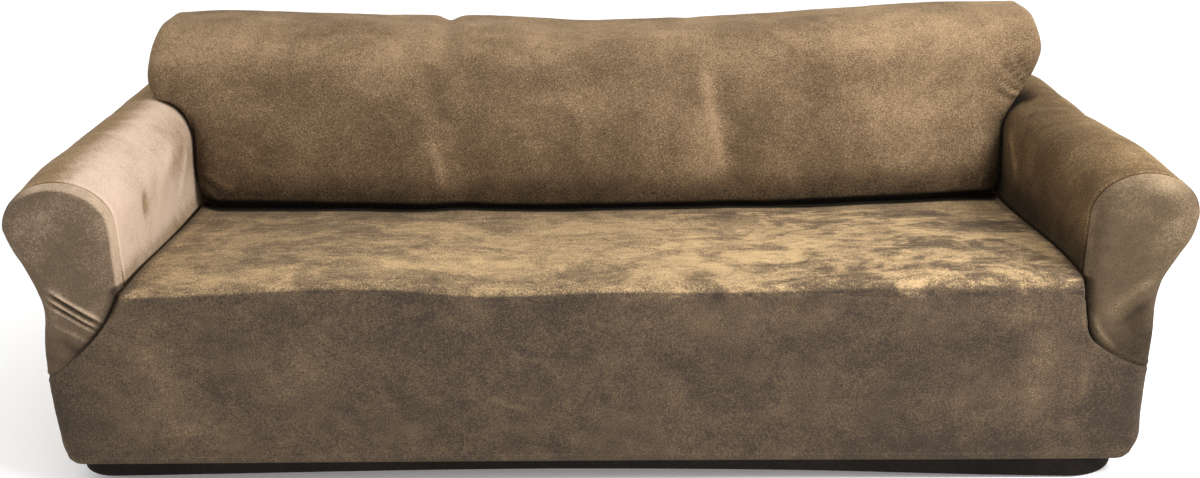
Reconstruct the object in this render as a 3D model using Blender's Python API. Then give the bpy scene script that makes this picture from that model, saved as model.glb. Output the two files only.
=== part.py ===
"""A fitted cover for a three-seat sofa with rolled arms, as the cloth shell that stays when the sofa is gone.

Metres, +Z up, +X to the viewer's right, +Y to the rear. The origin is under the middle of the cover, at
the height of the lowest point of its hem. Each cut piece is a sheet 2 mm thick whose outer face is
worked out here from named sizes; its thickness goes inwards. Pieces that are sewn together share their
seam's points, SEAM_GAP apart.
"""

import math
from typing import NamedTuple

import bmesh
import bpy
import numpy as np
from mathutils import Vector

# ---------------------------------------------------------------- driving sizes
CLOTH = 0.002  # thickness of the stretch velvet
SEAM_GAP = 0.0003  # clear distance between two sewn pieces
EDGE_LEAN = 0.0010  # how far the inner edge of a piece stands back from its seam

FRONT_Y = -0.450  # face of the front drop
REAR_Y = 0.450  # face of the outside back
EDGE_R = 0.040  # rounded upright edges at the rear and at the ends of the back
TOP_CORNER_R = 0.024  # the same edge over the top of the back
CORNER_R = 0.034  # rounded edge around the face of each arm and at the front corners
ROLL_FULL_Y = -0.25  # from here back, an arm's roll keeps its fullness up to the back
BACK_AT_ARM_Y = 0.15  # about where the back meets the arms
FLANK_SWELLS_Z = (0.36, 0.52)  # heights between which an arm's side comes to swell with its roll
FACE_RECESS = 0.012  # how far the face of an arm sits behind the front drop
RECESS_LOW, RECESS_HIGH = 0.280, 0.410  # heights between which that step grows from nothing

SEAT_REAR_Y = 0.090  # where the seat disappears under the back, at the middle
SEAT_REAR_Z = 0.386
SEAT_LEVEL_Y = FRONT_Y + 0.06  # where the seat reaches its front height
SEAT_CROWN = 0.008  # rise of the seat between its edges
SEAT_CROWN_POWER = 6  # how late that rise fades towards the arms
SEAT_SIDE_R = 0.018  # roll of the seat's cloth into the groove along each arm
SEAT_UNDER_BACK = 0.012  # how far the seat's cloth runs on behind the foot of the back
GROOVE_CLEAR = 0.0018  # room left between two cloths that face each other in a groove
FACE_GROOVE_R = 0.014  # roll of the drop's edge back to the face of an arm
FACE_GROOVE_TUCK = 0.003  # how far that edge reaches past the face where the face is set back most
FRONT_ROW_CLEAR = 0.004  # least height from the rounded front edge to the next row of the drop

BACK_FOOT_R = 0.022  # roll of the back's cloth into the groove behind the seat
BACK_FOOT_CLEAR = 0.0015  # height of the back's foot over the seat's cloth
BACK_TURNS_X = (0.25, 0.95)  # distances from the middle between which the back curves to its ends
TROUGHS_LEAN_Z = (0.40, 0.74)  # heights between which its troughs lean over
NOTCH_SHARE = 0.35  # width of the notch over a trough, as a share of the trough's
BACK_CORNER_DEPTH = 0.042  # how far the back's cloth recedes where its lower corners are rounded off
BACK_RISE_Z = 0.640  # where the front of the back starts to curve over to its top
BACK_TOP_REACH = 0.100  # how far that curve runs on along the top
REAR_TOP_R = 0.044  # rounded rear edge of the top
REAR_SEAM_Z = 0.685  # seam across the rear, under the top

CAP_TIP_Z = 0.227  # lowest point of the piece that covers an arm's face
HEM_CLEAR = 0.0004  # room between the elastic hem and the cloth in front of it
HEM_INSET = 0.004  # how far it is drawn in at the arms
HEM_TUCK = 0.006  # how far it reaches up behind the drop's lower edge


class Arm(NamedTuple):
    """One arm: side of the sofa, inner wall, roll, and where its face piece is sewn on."""

    side: float
    wall_x: float
    outer_x: float
    roll_z: float
    roll_rise: float
    swell: float
    swell_rear: float
    seam_y: float

    @property
    def roll_x(self):
        return (self.wall_x + self.outer_x) / 2

    @property
    def roll_half_width(self):
        return (self.outer_x - self.wall_x) / 2


ARMS = {
    "left": Arm(side=-1.0, wall_x=0.900, outer_x=1.101, roll_z=0.529, roll_rise=0.081,
                swell=0.0110, swell_rear=0.0090, seam_y=-0.392),
    "right": Arm(side=1.0, wall_x=0.908, outer_x=1.107, roll_z=0.531, roll_rise=0.079,
                 swell=0.0056, swell_rear=-0.0100, seam_y=-0.400),
}


class Flank(NamedTuple):
    """How far out each arm's outer side lies at a height, under its roll."""

    z: float
    left: float
    right: float


FLANK = (
    Flank(z=0.041, left=1.036, right=1.034),
    Flank(z=0.075, left=1.050, right=1.049),
    Flank(z=0.125, left=1.054, right=1.048),
    Flank(z=0.305, left=1.055, right=1.048),
    Flank(z=0.370, left=1.049, right=1.049),
    Flank(z=0.405, left=1.056, right=1.056),
    Flank(z=0.455, left=1.073, right=1.080),
    Flank(z=0.495, left=1.091, right=1.101),
    Flank(z=0.529, left=1.101, right=1.107),
)


class SeatEdge(NamedTuple):
    """Height of the seat along its front, and how round the front edge is there."""

    x: float
    z: float
    radius: float


SEAT_FRONT = (
    SeatEdge(x=-0.90, z=0.409, radius=0.018),
    SeatEdge(x=-0.74, z=0.415, radius=0.020),
    SeatEdge(x=-0.52, z=0.424, radius=0.020),
    SeatEdge(x=-0.37, z=0.421, radius=0.022),
    SeatEdge(x=-0.25, z=0.410, radius=0.024),
    SeatEdge(x=0.00, z=0.413, radius=0.022),
    SeatEdge(x=0.28, z=0.412, radius=0.026),
    SeatEdge(x=0.50, z=0.421, radius=0.034),
    SeatEdge(x=0.74, z=0.423, radius=0.046),
    SeatEdge(x=0.90, z=0.418, radius=0.036),
)


class Groove(NamedTuple):
    """Height of the groove between the seat and each arm."""

    y: float
    left: float
    right: float


GROOVE = (
    Groove(y=-0.45, left=0.407, right=0.405),
    Groove(y=-0.39, left=0.406, right=0.411),
    Groove(y=-0.32, left=0.403, right=0.412),
    Groove(y=-0.17, left=0.391, right=0.401),
    Groove(y=-0.02, left=0.383, right=0.389),
    Groove(y=0.15, left=0.379, right=0.379),
)


class FaceSeam(NamedTuple):
    """Seam between the front drop and an arm's face: distance from the middle, around the corner."""

    z: float
    left: float
    right: float


FACE_SEAM = (
    FaceSeam(z=0.415, left=0.901, right=0.909),
    FaceSeam(z=0.391, left=0.906, right=0.909),
    FaceSeam(z=0.364, left=0.919, right=0.910),
    FaceSeam(z=0.335, left=0.941, right=0.914),
    FaceSeam(z=0.305, left=0.969, right=0.921),
    FaceSeam(z=0.275, left=1.001, right=0.953),
    FaceSeam(z=0.250, left=1.036, right=1.000),
    FaceSeam(z=0.241, left=1.053, right=1.025),
    FaceSeam(z=0.234, left=1.069, right=1.047),
    FaceSeam(z=0.229, left=1.085, right=1.067),
    FaceSeam(z=CAP_TIP_Z, left=1.098, right=1.083),
)


class BackFace(NamedTuple):
    """How far back the inside back lies at a height: near the left end, in the middle, near the right."""

    z: float
    left: float
    middle: float
    right: float


BACK_FACE = (
    BackFace(z=0.405, left=0.088, middle=0.058, right=0.112),
    BackFace(z=0.485, left=0.094, middle=0.060, right=0.126),
    BackFace(z=0.565, left=0.118, middle=0.082, right=0.150),
    BackFace(z=0.625, left=0.152, middle=0.120, right=0.176),
    BackFace(z=0.725, left=0.196, middle=0.178, right=0.208),
)


class BackCorner(NamedTuple):
    """Rounded lower corner of the back, beside an arm."""

    side: float
    radius: float


BACK_CORNERS = (BackCorner(side=-1.0, radius=0.075), BackCorner(side=1.0, radius=0.032))


class Trough(NamedTuple):
    """Soft upright hollow in the back where two cushions meet under the cloth."""

    low_x: float
    high_x: float
    half_width: float
    depth: float
    notch: float


TROUGHS = (
    Trough(low_x=-0.300, high_x=-0.345, half_width=0.060, depth=0.014, notch=0.012),
    Trough(low_x=0.285, high_x=0.215, half_width=0.075, depth=0.012, notch=0.003),
)


class Top(NamedTuple):
    """Height of the top of the back."""

    x: float
    z: float


TOP = (
    Top(x=-1.00, z=0.765),
    Top(x=-0.89, z=0.769),
    Top(x=-0.68, z=0.763),
    Top(x=-0.44, z=0.756),
    Top(x=-0.24, z=0.750),
    Top(x=0.01, z=0.739),
    Top(x=0.24, z=0.744),
    Top(x=0.48, z=0.757),
    Top(x=0.72, z=0.770),
    Top(x=1.00, z=0.774),
)


class BackEnd(NamedTuple):
    """How far out each end of the back reaches over the arm."""

    z: float
    left: float
    right: float


BACK_END = (
    BackEnd(z=0.560, left=0.925, right=0.914),
    BackEnd(z=0.608, left=0.978, right=0.949),
    BackEnd(z=0.645, left=1.003, right=0.977),
    BackEnd(z=0.695, left=1.006, right=1.002),
    BackEnd(z=0.735, left=1.000, right=0.999),
)


class Hem(NamedTuple):
    """Lower edge of the drop, and lower edge of the elastic hem."""

    x: float
    drop: float
    elastic: float


HEM = (
    Hem(x=-1.00, drop=0.054, elastic=0.027),
    Hem(x=0.00, drop=0.049, elastic=0.031),
    Hem(x=0.37, drop=0.046, elastic=0.023),
    Hem(x=0.77, drop=0.042, elastic=0.007),
    Hem(x=1.00, drop=0.041, elastic=0.000),
)



class HemCorner(NamedTuple):
    """Corner that the elastic hem cuts across in a wide curve: signs of x and y there, and the radius."""

    side: int
    depth: int
    radius: float


HEM_CORNERS = (
    HemCorner(side=1, depth=-1, radius=0.120),
    HemCorner(side=1, depth=1, radius=0.080),
    HemCorner(side=-1, depth=1, radius=0.080),
    HemCorner(side=-1, depth=-1, radius=0.080),
)

# ---------------------------------------------------------------- how finely the sheets are divided
WALL_STEPS = 3  # up an arm's inner wall
ROLL_STEPS = 10  # around the top half of an arm's roll
ROLL_TOP = WALL_STEPS + ROLL_STEPS // 2  # place of the roll's highest point in an arm's outline
STRIP_STEPS = 4  # of the roll, past its highest point, that run on under the end of the back
LOWER_STEPS = len(FACE_SEAM) - 1  # down the flank beside the face piece, under the seat's level
BELOW_STEPS = 3  # down the flank beside the front drop
LENGTH_STEPS = 6  # along an arm, up to the back
BEHIND_STEPS = 2  # along an arm, beside the back
CURL = (30.0, 60.0, 90.0)  # degrees around a rounded edge
FOOT_CURL = (90.0, 60.0, 30.0, 0.0)  # degrees around the roll at the back's foot
FACE_EDGE_SHARES = (0.0, 0.08, 0.25, 0.55, 1.0)  # of the way from the seam to the flat of an arm's face
FACE_SPREADS_Z = (0.305, 0.391)  # heights between which a face's columns spread out evenly
BACK_PLACES = (-0.80, -0.68, -0.55, -0.43, -0.385, -0.345, -0.30, -0.24, -0.12, 0.0, 0.11, 0.18, 0.24, 0.30,
               0.39, 0.53, 0.68, 0.80)  # columns across the back, closer in its troughs
REAR_COLUMNS = 4  # across the outside back
SEAT_ROWS = 6  # from the back of the seat to its front edge
RISE_STEPS = 2  # up the front of the back, from the arms to the start of that curve
SEAM_STEPS = 4  # up the rear, from the arms to the rear seam
OVER_STEPS = 6  # around the curve from the front of the back to its top
TOP_STEPS = 2  # from front to rear over the top of the back
FRONT_SHARES = (0.13, 0.26, 0.38, 0.50, 0.61, 0.71, 0.80, 0.87, 0.93, 0.948, 0.965, 0.982, 1.0)
HEM_CORNER_STEPS = 5
HEM_LONG_STEPS = 8  # along the front and the rear
HEM_SHORT_STEPS = 3  # along each end
LEAN_STEP = 0.01  # height over which the lean of the back's front is measured
MERGE = 0.00005  # points of neighbouring patches closer than this are one point

VELVET = {
    "seat": (0.46, 0.33, 0.20),
    "back": (0.30, 0.22, 0.15),
    "arm": (0.42, 0.31, 0.22),
    "face": (0.22, 0.17, 0.13),
    "rear": (0.26, 0.19, 0.14),
    "hem": (0.15, 0.11, 0.09),
}


# ---------------------------------------------------------------- reading the tables
def read(table, column, at):
    """Value of a column at a place between the rows, on an even curve through them."""
    places = np.array([row[0] for row in table])
    values = np.array([getattr(row, column) for row in table])
    at = min(max(at, places.min()), places.max())
    order = np.argsort(places)
    places, values = places[order], values[order]
    slopes = np.gradient(values, places)
    i = min(int(np.searchsorted(places, at, side="right")) - 1, len(places) - 2)
    width = places[i + 1] - places[i]
    t = (at - places[i]) / width
    return float(
        values[i] * (1 + 2 * t) * (1 - t) ** 2
        + values[i + 1] * t * t * (3 - 2 * t)
        + slopes[i] * width * t * (1 - t) ** 2
        - slopes[i + 1] * width * t * t * (1 - t)
    )


def ease(low, high, at):
    """0 below low, 1 above high, and an even S between."""
    t = min(max((at - low) / (high - low), 0.0), 1.0)
    return t * t * (3 - 2 * t)


def steps(start, end, count, include_start=True):
    """Evenly spaced values from start to end."""
    values = [start + (end - start) * k / count for k in range(count + 1)]
    return values if include_start else values[1:]


# ---------------------------------------------------------------- the arms
def swell(arm, y):
    """How much fuller the roll is at y than at the edge of its face."""
    fullest = arm.swell * ease(FRONT_Y, ROLL_FULL_Y, y)
    return fullest + (arm.swell_rear - arm.swell) * ease(ROLL_FULL_Y, BACK_AT_ARM_Y, y)


def wall_heights(name, y):
    """Heights up an arm's inner wall, from the groove beside the seat to the roll."""
    return steps(read(GROOVE, name, y), ARMS[name].roll_z, WALL_STEPS)


def flank_heights(name):
    """Heights down an arm's outer side: beside the wall, beside the face piece, beside the drop."""
    arm = ARMS[name]
    seat = read(GROOVE, name, arm.seam_y)
    low = read(HEM, "drop", arm.side)
    return (
        steps(arm.roll_z, seat, WALL_STEPS)
        + [row.z for row in FACE_SEAM[1:]]
        + steps(CAP_TIP_Z, low, BELOW_STEPS)[1:]
    )


def roll_point(name, y, angle, inset=0.0):
    """(x, z) on an arm's roll: angle 0 points outwards and 180 to the seat, x counts from the middle."""
    arm = ARMS[name]
    turn = math.radians(angle)
    fuller = swell(arm, y)
    across = arm.roll_half_width + (fuller if angle < 90 else 0.0) - inset
    rise = arm.roll_rise + fuller - inset
    return arm.roll_x + across * math.cos(turn), arm.roll_z + rise * math.sin(turn)


def flank_x(name, y, z):
    """How far out an arm's outer side lies at a height."""
    return read(FLANK, name, z) + swell(ARMS[name], y) * ease(*FLANK_SWELLS_Z, z)


def arm_outline(name, y):
    """(x, z) around an arm from the groove, over the roll and down to the drop's lower edge."""
    arm = ARMS[name]
    wall = [(arm.wall_x, z) for z in wall_heights(name, y)]
    roll = [roll_point(name, y, angle) for angle in steps(180, 0, ROLL_STEPS)[1:]]
    flank = [(flank_x(name, y, z), z) for z in flank_heights(name)[1:]]
    return wall + roll + flank


def back_meets_arm(name, z):
    """How far back the groove between the back and an arm lies at a height."""
    return read(BACK_FACE, name, z) + EDGE_R + corner_turn(ARMS[name].side * ARMS[name].wall_x, z)


def make_arm(name):
    """The piece that covers an arm's inner side, roll and outer side."""
    arm = ARMS[name]
    start = arm.seam_y + SEAM_GAP / 2
    end = REAR_Y - EDGE_R - SEAM_GAP / 2
    beside, behind = [], []
    for k, (_, z_groove) in enumerate(arm_outline(name, BACK_AT_ARM_Y)):
        if k > ROLL_TOP:
            z_groove = arm_outline(name, BACK_AT_ARM_Y)[ROLL_TOP][1]
        stop = back_meets_arm(name, z_groove) - SEAM_GAP
        beside.append([outline_point(name, y, k) for y in steps(start, stop, LENGTH_STEPS)])
        if k >= ROLL_TOP - STRIP_STEPS:
            behind.append([outline_point(name, y, k) for y in steps(stop, end, BEHIND_STEPS)])
    return [beside, behind]


def outline_point(name, y, k):
    """Point number k of an arm's outline, in the cover's own coordinates."""
    x, z = arm_outline(name, y)[k]
    return ARMS[name].side * x, y, z


# ---------------------------------------------------------------- the faces of the arms
def recess(z):
    """How far the face of an arm sits behind the front drop at a height."""
    return FACE_RECESS * ease(RECESS_LOW, RECESS_HIGH, z)


def around_front(name, along, z, y_face):
    """Point of the front at a distance from the middle, followed around the corner to the side."""
    arm = ARMS[name]
    out = flank_x(name, arm.seam_y, z)
    turn = (along - (out - CORNER_R)) / CORNER_R
    if turn <= 0:
        x, y = along, y_face
    elif turn < math.pi / 2:
        x, y = out - CORNER_R * (1 - math.sin(turn)), y_face + CORNER_R * (1 - math.cos(turn))
    else:
        x, y = out, y_face + CORNER_R + CORNER_R * (turn - math.pi / 2)
    return arm.side * x, y, z


def front_reach(name, z, y_face):
    """Distance from the middle, around the corner, to the side seam."""
    arm = ARMS[name]
    side = arm.seam_y - SEAM_GAP / 2 - (y_face + CORNER_R)
    return flank_x(name, arm.seam_y, z) - CORNER_R + CORNER_R * math.pi / 2 + side


def seam_along(name, z):
    """Distance from the middle, around the corner, to the seam beside an arm's face at a height."""
    if z < CAP_TIP_Z + SEAM_GAP:
        return front_reach(name, z, FRONT_Y)
    return read(FACE_SEAM, name, z)


def face_point(name, along, z):
    """Point on an arm's face, whose inner edge is rounded like its outer one."""
    arm = ARMS[name]
    x, y, z = around_front(name, along, z, FRONT_Y + recess(z))
    near = min(max(1 - (abs(x) - arm.wall_x) / CORNER_R, 0.0), 1.0)
    return x, y + CORNER_R * (1 - math.sqrt(1 - near * near)), z


def rings(arm, z):
    """(inset, y) from an arm face's seam, around its rounded edge, to its flat."""
    y_face = FRONT_Y + recess(z)
    found = [(0.0, arm.seam_y - SEAM_GAP / 2), (0.0, y_face + CORNER_R)]
    for degrees in CURL:
        turn = math.radians(degrees)
        found.append((CORNER_R * (1 - math.cos(turn)), y_face + CORNER_R * (1 - math.sin(turn))))
    return found


def face_columns(name, z, seam, reach):
    """Places across a lower row of an arm's face: under the rings near its top, even near its tip."""
    arm = ARMS[name]
    out = flank_x(name, arm.seam_y, z) - CORNER_R
    inner = [seam + (arm.wall_x + CORNER_R - seam) * t for t in FACE_EDGE_SHARES]
    outer = [out + CORNER_R * math.radians(degrees) for degrees in (0.0, *CURL)] + [reach]
    under_rings = inner + [(inner[-1] + outer[0]) / 2] + outer
    even = steps(seam, reach, len(under_rings) - 1)
    share = ease(*FACE_SPREADS_Z, z)
    return [a * share + b * (1 - share) for a, b in zip(under_rings, even)]


def make_face(name):
    """The piece that covers an arm's face, its rounded edge and the start of its length."""
    arm = ARMS[name]
    fan = []
    for angle in steps(180, 0, ROLL_STEPS):
        line = [(*roll_point(name, y, angle, inset), y) for inset, y in rings(arm, arm.roll_z)]
        line.append((arm.roll_x, arm.roll_z, line[-1][2]))
        fan.append([(arm.side * x, y, z) for x, z, y in line])

    lower = []
    for k, z in enumerate(flank_heights(name)[: WALL_STEPS + LOWER_STEPS + 1]):
        y_face = FRONT_Y + recess(z)
        if k <= WALL_STEPS:
            inner = [(arm.wall_x + inset, y) for inset, y in rings(arm, z)]
            outer = [(flank_x(name, y, z) - inset, y) for inset, y in rings(arm, z)]
            middle = arm.roll_x if k == 0 else (inner[-1][0] + outer[-1][0]) / 2
            if k == WALL_STEPS:
                inner[0] = (arm.wall_x, inner[0][1] - CLOTH)
            lower.append([(arm.side * x, y, z) for x, y in (*inner, (middle, y_face), *outer[::-1])])
        else:
            reach = front_reach(name, z, y_face)
            seam = min(seam_along(name, z) + SEAM_GAP / 2, reach)
            lower.append([face_point(name, along, z) for along in face_columns(name, z, seam, reach)])
    return [fan, lower]


# ---------------------------------------------------------------- the seat and the front drop
def seat_height(x, y):
    """Height of the seat's cloth away from the grooves."""
    forward = ease(SEAT_REAR_Y, SEAT_LEVEL_Y, y)
    level = SEAT_REAR_Z + (read(SEAT_FRONT, "z", x) - SEAT_REAR_Z) * forward
    along = min(max((SEAT_REAR_Y - y) / (SEAT_REAR_Y - FRONT_Y), 0.0), 1.0)
    return level + SEAT_CROWN * (1 - abs(x) ** SEAT_CROWN_POWER) * math.sin(math.pi * along)


def seat_point(x, y):
    """Point of the seat's cloth, which rolls down into the groove along each arm."""
    name = "left" if x < 0 else "right"
    clear = ARMS[name].wall_x - GROOVE_CLEAR - abs(x)
    down = max(1 - clear / SEAT_SIDE_R, 0.0)
    top = seat_height(x, y)
    return x, y, top - (top - read(GROOVE, name, y)) * down**2


def front_columns(reach_left, reach_right):
    """Places across a row, closer together near its ends, for reaches to the left and to the right."""
    left = [-share * reach_left for share in reversed(FRONT_SHARES)]
    return left + [0.0] + [share * reach_right for share in FRONT_SHARES]


def make_seat_and_front():
    """The seat and the front drop, cut in one."""
    wall = [ARMS[name].wall_x - GROOVE_CLEAR for name in ("left", "right")]
    rows = []
    for share in steps(0.0, 1.0, SEAT_ROWS):
        row = []
        for x in front_columns(*wall):
            rear = back_y(x, BACK_FACE[0].z) + BACK_FOOT_R + SEAT_UNDER_BACK
            front = FRONT_Y + read(SEAT_FRONT, "radius", x)
            row.append(beside_face(seat_point(x, rear + (front - rear) * share), wall))
        rows.append(row)
    for degrees in CURL:
        turn = math.radians(degrees)
        low = [edge_drop(x, turn)[2] for x in (-wall[0], wall[1])]
        reach = [seam_along(name, z) - GROOVE_CLEAR for name, z in zip(("left", "right"), low)]
        rows.append([beside_face(edge_drop(x, turn), reach) for x in front_columns(*reach)])

    under_edge = min(rows[-1][0][2], rows[-1][-1][2]) - FRONT_ROW_CLEAR
    heights = [flank_heights(name)[WALL_STEPS + 1 :] for name in ("left", "right")]
    for k, levels in enumerate(zip(*heights)):
        if max(levels) > under_edge:
            continue
        reach = [seam_along(name, z) - SEAM_GAP / 2 for name, z in zip(("left", "right"), levels)]
        if k >= LOWER_STEPS:
            reach = [front_reach(name, z, FRONT_Y) for name, z in zip(("left", "right"), levels)]
        lowest = k == len(heights[0]) - 1
        row = [front_point(along, levels, reach, lowest) for along in front_columns(*reach)]
        rows.append([beside_face(point, reach) for point in row] if k < LOWER_STEPS else row)
    return [rows]


def edge_drop(x, turn):
    """Point of the rounded front edge of the seat; turn runs from 0 on the seat to a right angle."""
    limit = ARMS["left" if x < 0 else "right"].wall_x - GROOVE_CLEAR
    inside = math.copysign(min(abs(x), limit), x)
    radius = read(SEAT_FRONT, "radius", inside)
    z_top = seat_point(inside, FRONT_Y + radius)[2]
    return x, FRONT_Y + radius * (1 - math.sin(turn)), z_top - radius * (1 - math.cos(turn))


def front_point(along, levels, reach, lowest):
    """Point of the front drop on a row whose ends lie at two heights."""
    edge = reach[0] if along < 0 else reach[1]
    z = levels[0] + (levels[1] - levels[0]) * (0.5 + 0.5 * along / edge)
    if lowest:
        z = read(HEM, "drop", along)
    return around_front("left" if along < 0 else "right", abs(along), z, FRONT_Y)


def beside_face(point, reach):
    """The same point, rolled back to the face of an arm where it is near the edge of its row."""
    x, y, z = point
    name, edge = ("left", reach[0]) if x < 0 else ("right", reach[1])
    near = min(max(1 - (edge - abs(x)) / FACE_GROOVE_R, 0.0), 1.0)
    tuck = FACE_GROOVE_TUCK * recess(z) / FACE_RECESS
    back = max(face_point(name, edge, z)[1] + tuck - y, 0.0)
    return x, y + back * (1 - math.sqrt(1 - near * near)), z


# ---------------------------------------------------------------- the back
def back_y(x, z):
    """How far back the front of the back lies."""
    left, middle, right = (read(BACK_FACE, column, z) for column in ("left", "middle", "right"))
    side, reach = (left, abs(min(x, 0.0))) if x < 0 else (right, x)
    y = middle + (side - middle) * ease(*BACK_TURNS_X, reach)
    for trough in TROUGHS:
        y += trough.depth * trough_share(trough, x, z)
    return y + corner_turn(x, z)


def corner_turn(x, z):
    """How much further back the cloth lies where a lower corner of the back is rounded off."""
    corner = BACK_CORNERS[0 if x < 0 else 1]
    wall = ARMS["left" if x < 0 else "right"].wall_x
    across = min(max(1 - (wall - abs(x)) / corner.radius, 0.0), 1.0)
    down = min(max(1 - (z - BACK_FACE[0].z) / corner.radius, 0.0), 1.0)
    return BACK_CORNER_DEPTH * ease(1.0, math.sqrt(2.0), math.hypot(across, down))


def trough_share(trough, x, z):
    """1 along the deepest line of a trough, falling to 0 at its sides."""
    centre = trough.low_x + (trough.high_x - trough.low_x) * ease(*TROUGHS_LEAN_Z, z)
    return math.exp(-(((x - centre) / trough.half_width) ** 2))


def top_z(x):
    """Height of the top of the back."""
    z = read(TOP, "z", x)
    for trough in TROUGHS:
        away = (x - trough.high_x) / (NOTCH_SHARE * trough.half_width)
        z -= trough.notch * math.exp(-(away**2))
    return z


class End(NamedTuple):
    """Where a row of the back ends on the left and on the right: (x, z) on each side."""

    left: tuple
    right: tuple


def back_ends_beside_arms():
    """Ends of the rows that run down between the arms, from the lowest to the top of the rolls."""
    ends = []
    for share in steps(0.0, 1.0, WALL_STEPS)[1:]:
        pair = []
        for name in ("left", "right"):
            arm = ARMS[name]
            low = SEAT_REAR_Z + BACK_FOOT_R
            pair.append((arm.wall_x - GROOVE_CLEAR, low + (arm.roll_z - low) * share))
        ends.append(End(*pair))
    for angle in steps(180, 90, ROLL_STEPS // 2)[1:-1]:
        pair = []
        for name in ("left", "right"):
            x, z = roll_point(name, BACK_AT_ARM_Y, angle, inset=-GROOVE_CLEAR)
            pair.append((min(x, read(BACK_END, name, z)), z))
        ends.append(End(*pair))
    return ends


def back_ends_over_arms(z_high, count):
    """Ends of the rows from the top of the arms up to a height."""
    low = [roll_point(name, BACK_AT_ARM_Y, 90, inset=-GROOVE_CLEAR)[1] for name in ("left", "right")]
    ends = []
    for share in steps(0.0, 1.0, count):
        pair = []
        for name, z_low in zip(("left", "right"), low):
            z = z_low + (z_high - z_low) * share
            pair.append((read(BACK_END, name, z), z))
        ends.append(End(*pair))
    return ends


def back_columns(end, radius=EDGE_R):
    """(x, z, inset) across a row of the back, with its ends rolled in by radius."""
    (x_left, z_left), (x_right, z_right) = end
    found = rolled_in((radius - x_left, *BACK_PLACES, x_right - radius), radius)
    slope = (z_right - z_left) / (x_left + x_right)
    return [(x, z_left + slope * (x + x_left), inset) for x, inset in found]


def rolled_in(flat, radius):
    """(x, inset) of places across a row, with a rounded edge of this radius added at both ends."""
    turns = [math.radians(degrees) for degrees in CURL]
    curl = [(radius * math.sin(turn), radius * (1 - math.cos(turn))) for turn in turns]
    low = [(flat[0] - out, inset) for out, inset in reversed(curl)]
    high = [(flat[-1] + out, inset) for out, inset in curl]
    return low + [(x, 0.0) for x in flat] + high


def over_top(x, share):
    """(y, z) on the curve from the front of the back to its top, which it meets evenly at both ends."""
    y_start, z_top = back_y(x, BACK_RISE_Z), top_z(x)
    lean = (y_start - back_y(x, BACK_RISE_Z - LEAN_STEP)) / LEAN_STEP
    y_turn = y_start + lean * (z_top - BACK_RISE_Z)
    start, turn, end = (1 - share) ** 2, 2 * share * (1 - share), share**2
    y = start * y_start + turn * y_turn + end * (y_turn + BACK_TOP_REACH)
    return y, start * BACK_RISE_Z + (turn + end) * z_top


def over_columns(share):
    """(x, z, inset) across a row of that curve: its rounded ends grow tighter towards the top."""
    radius = EDGE_R + (TOP_CORNER_R - EDGE_R) * share
    pair = []
    for name, arm in ARMS.items():
        z = over_top(arm.side, share)[1] - radius * math.sin(share * math.pi / 2)
        pair.append((read(BACK_END, name, z), z))
    return back_columns(End(*pair), radius)


def make_inside_back():
    """The piece that covers the front of the back, its top, and the start of its rear."""
    rows = []
    beside = back_ends_beside_arms()
    foot = End((beside[0].left[0], 0.0), (beside[0].right[0], 0.0))
    for degrees in FOOT_CURL:
        turn = math.radians(degrees)
        row = []
        for x, _, inset in back_columns(foot):
            y_face = back_y(x, BACK_FACE[0].z) + inset
            y = y_face + BACK_FOOT_R * (1 - math.cos(turn))
            row.append((x, y, SEAT_REAR_Z + BACK_FOOT_CLEAR + BACK_FOOT_R * (1 - math.sin(turn))))
        rows.append(row)
    for end in beside + back_ends_over_arms(BACK_RISE_Z, RISE_STEPS):
        rows.append([(x, back_y(x, z) + inset, z) for x, z, inset in back_columns(end)])

    for share in steps(0.0, 1.0, OVER_STEPS)[1:]:
        row = []
        for x, _, inset in over_columns(share):
            y, z = over_top(x, share)
            turn = share * math.pi / 2
            row.append((x, y + inset * math.cos(turn), z - inset * math.sin(turn)))
        rows.append(row)
    over = over_columns(1.0)
    y_far = REAR_Y - REAR_TOP_R
    for share in steps(0.0, 1.0, TOP_STEPS)[1:-1]:
        row = []
        for x, _, inset in over:
            y_near = over_top(x, 1.0)[0]
            row.append((x, y_near + (y_far - y_near) * share, top_z(x) - inset))
        rows.append(row)
    for degrees in (0.0, *CURL):
        turn = math.radians(degrees)
        row = []
        for x, _, inset in over:
            radius = REAR_TOP_R - inset
            y, z = y_far + radius * math.sin(turn), top_z(x) - REAR_TOP_R
            row.append((x, y, z + radius * math.cos(turn)))
        rows.append(row)
    last = back_columns(back_ends_over_arms(REAR_SEAM_Z, SEAM_STEPS)[-1])
    return [rows + [[(x, REAR_Y - inset, z + SEAM_GAP / 2) for x, z, inset in last]]]


def make_back_end(name):
    """The piece that closes an end of the back above an arm."""
    side = ARMS[name].side
    column = 0 if side < 0 else -1
    inside = [row[column] for row in make_inside_back()[0]]
    first = len(FOOT_CURL) + len(back_ends_beside_arms())
    front = inside[first : first + len(back_ends_over_arms(BACK_RISE_Z, RISE_STEPS)) + OVER_STEPS]
    rear = inside[::-1][: 2 + len(CURL)]
    for x_end, z_end in reversed([end[column] for end in back_ends_over_arms(REAR_SEAM_Z, SEAM_STEPS)[:-1]]):
        rear.insert(0, (side * x_end, REAR_Y - EDGE_R, z_end))
    rows = []
    for k, (near, far) in enumerate(zip(front, rear)):
        drop = SEAM_GAP if k == len(front) - 1 else 0.0
        row = []
        for share in steps(0.0, 1.0, TOP_STEPS):
            x, y, z = (a + (b - a) * share for a, b in zip(near, far))
            row.append((x, y + SEAM_GAP * (1 - 2 * share), z - drop))
        rows.append(row)
    return [rows]


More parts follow.
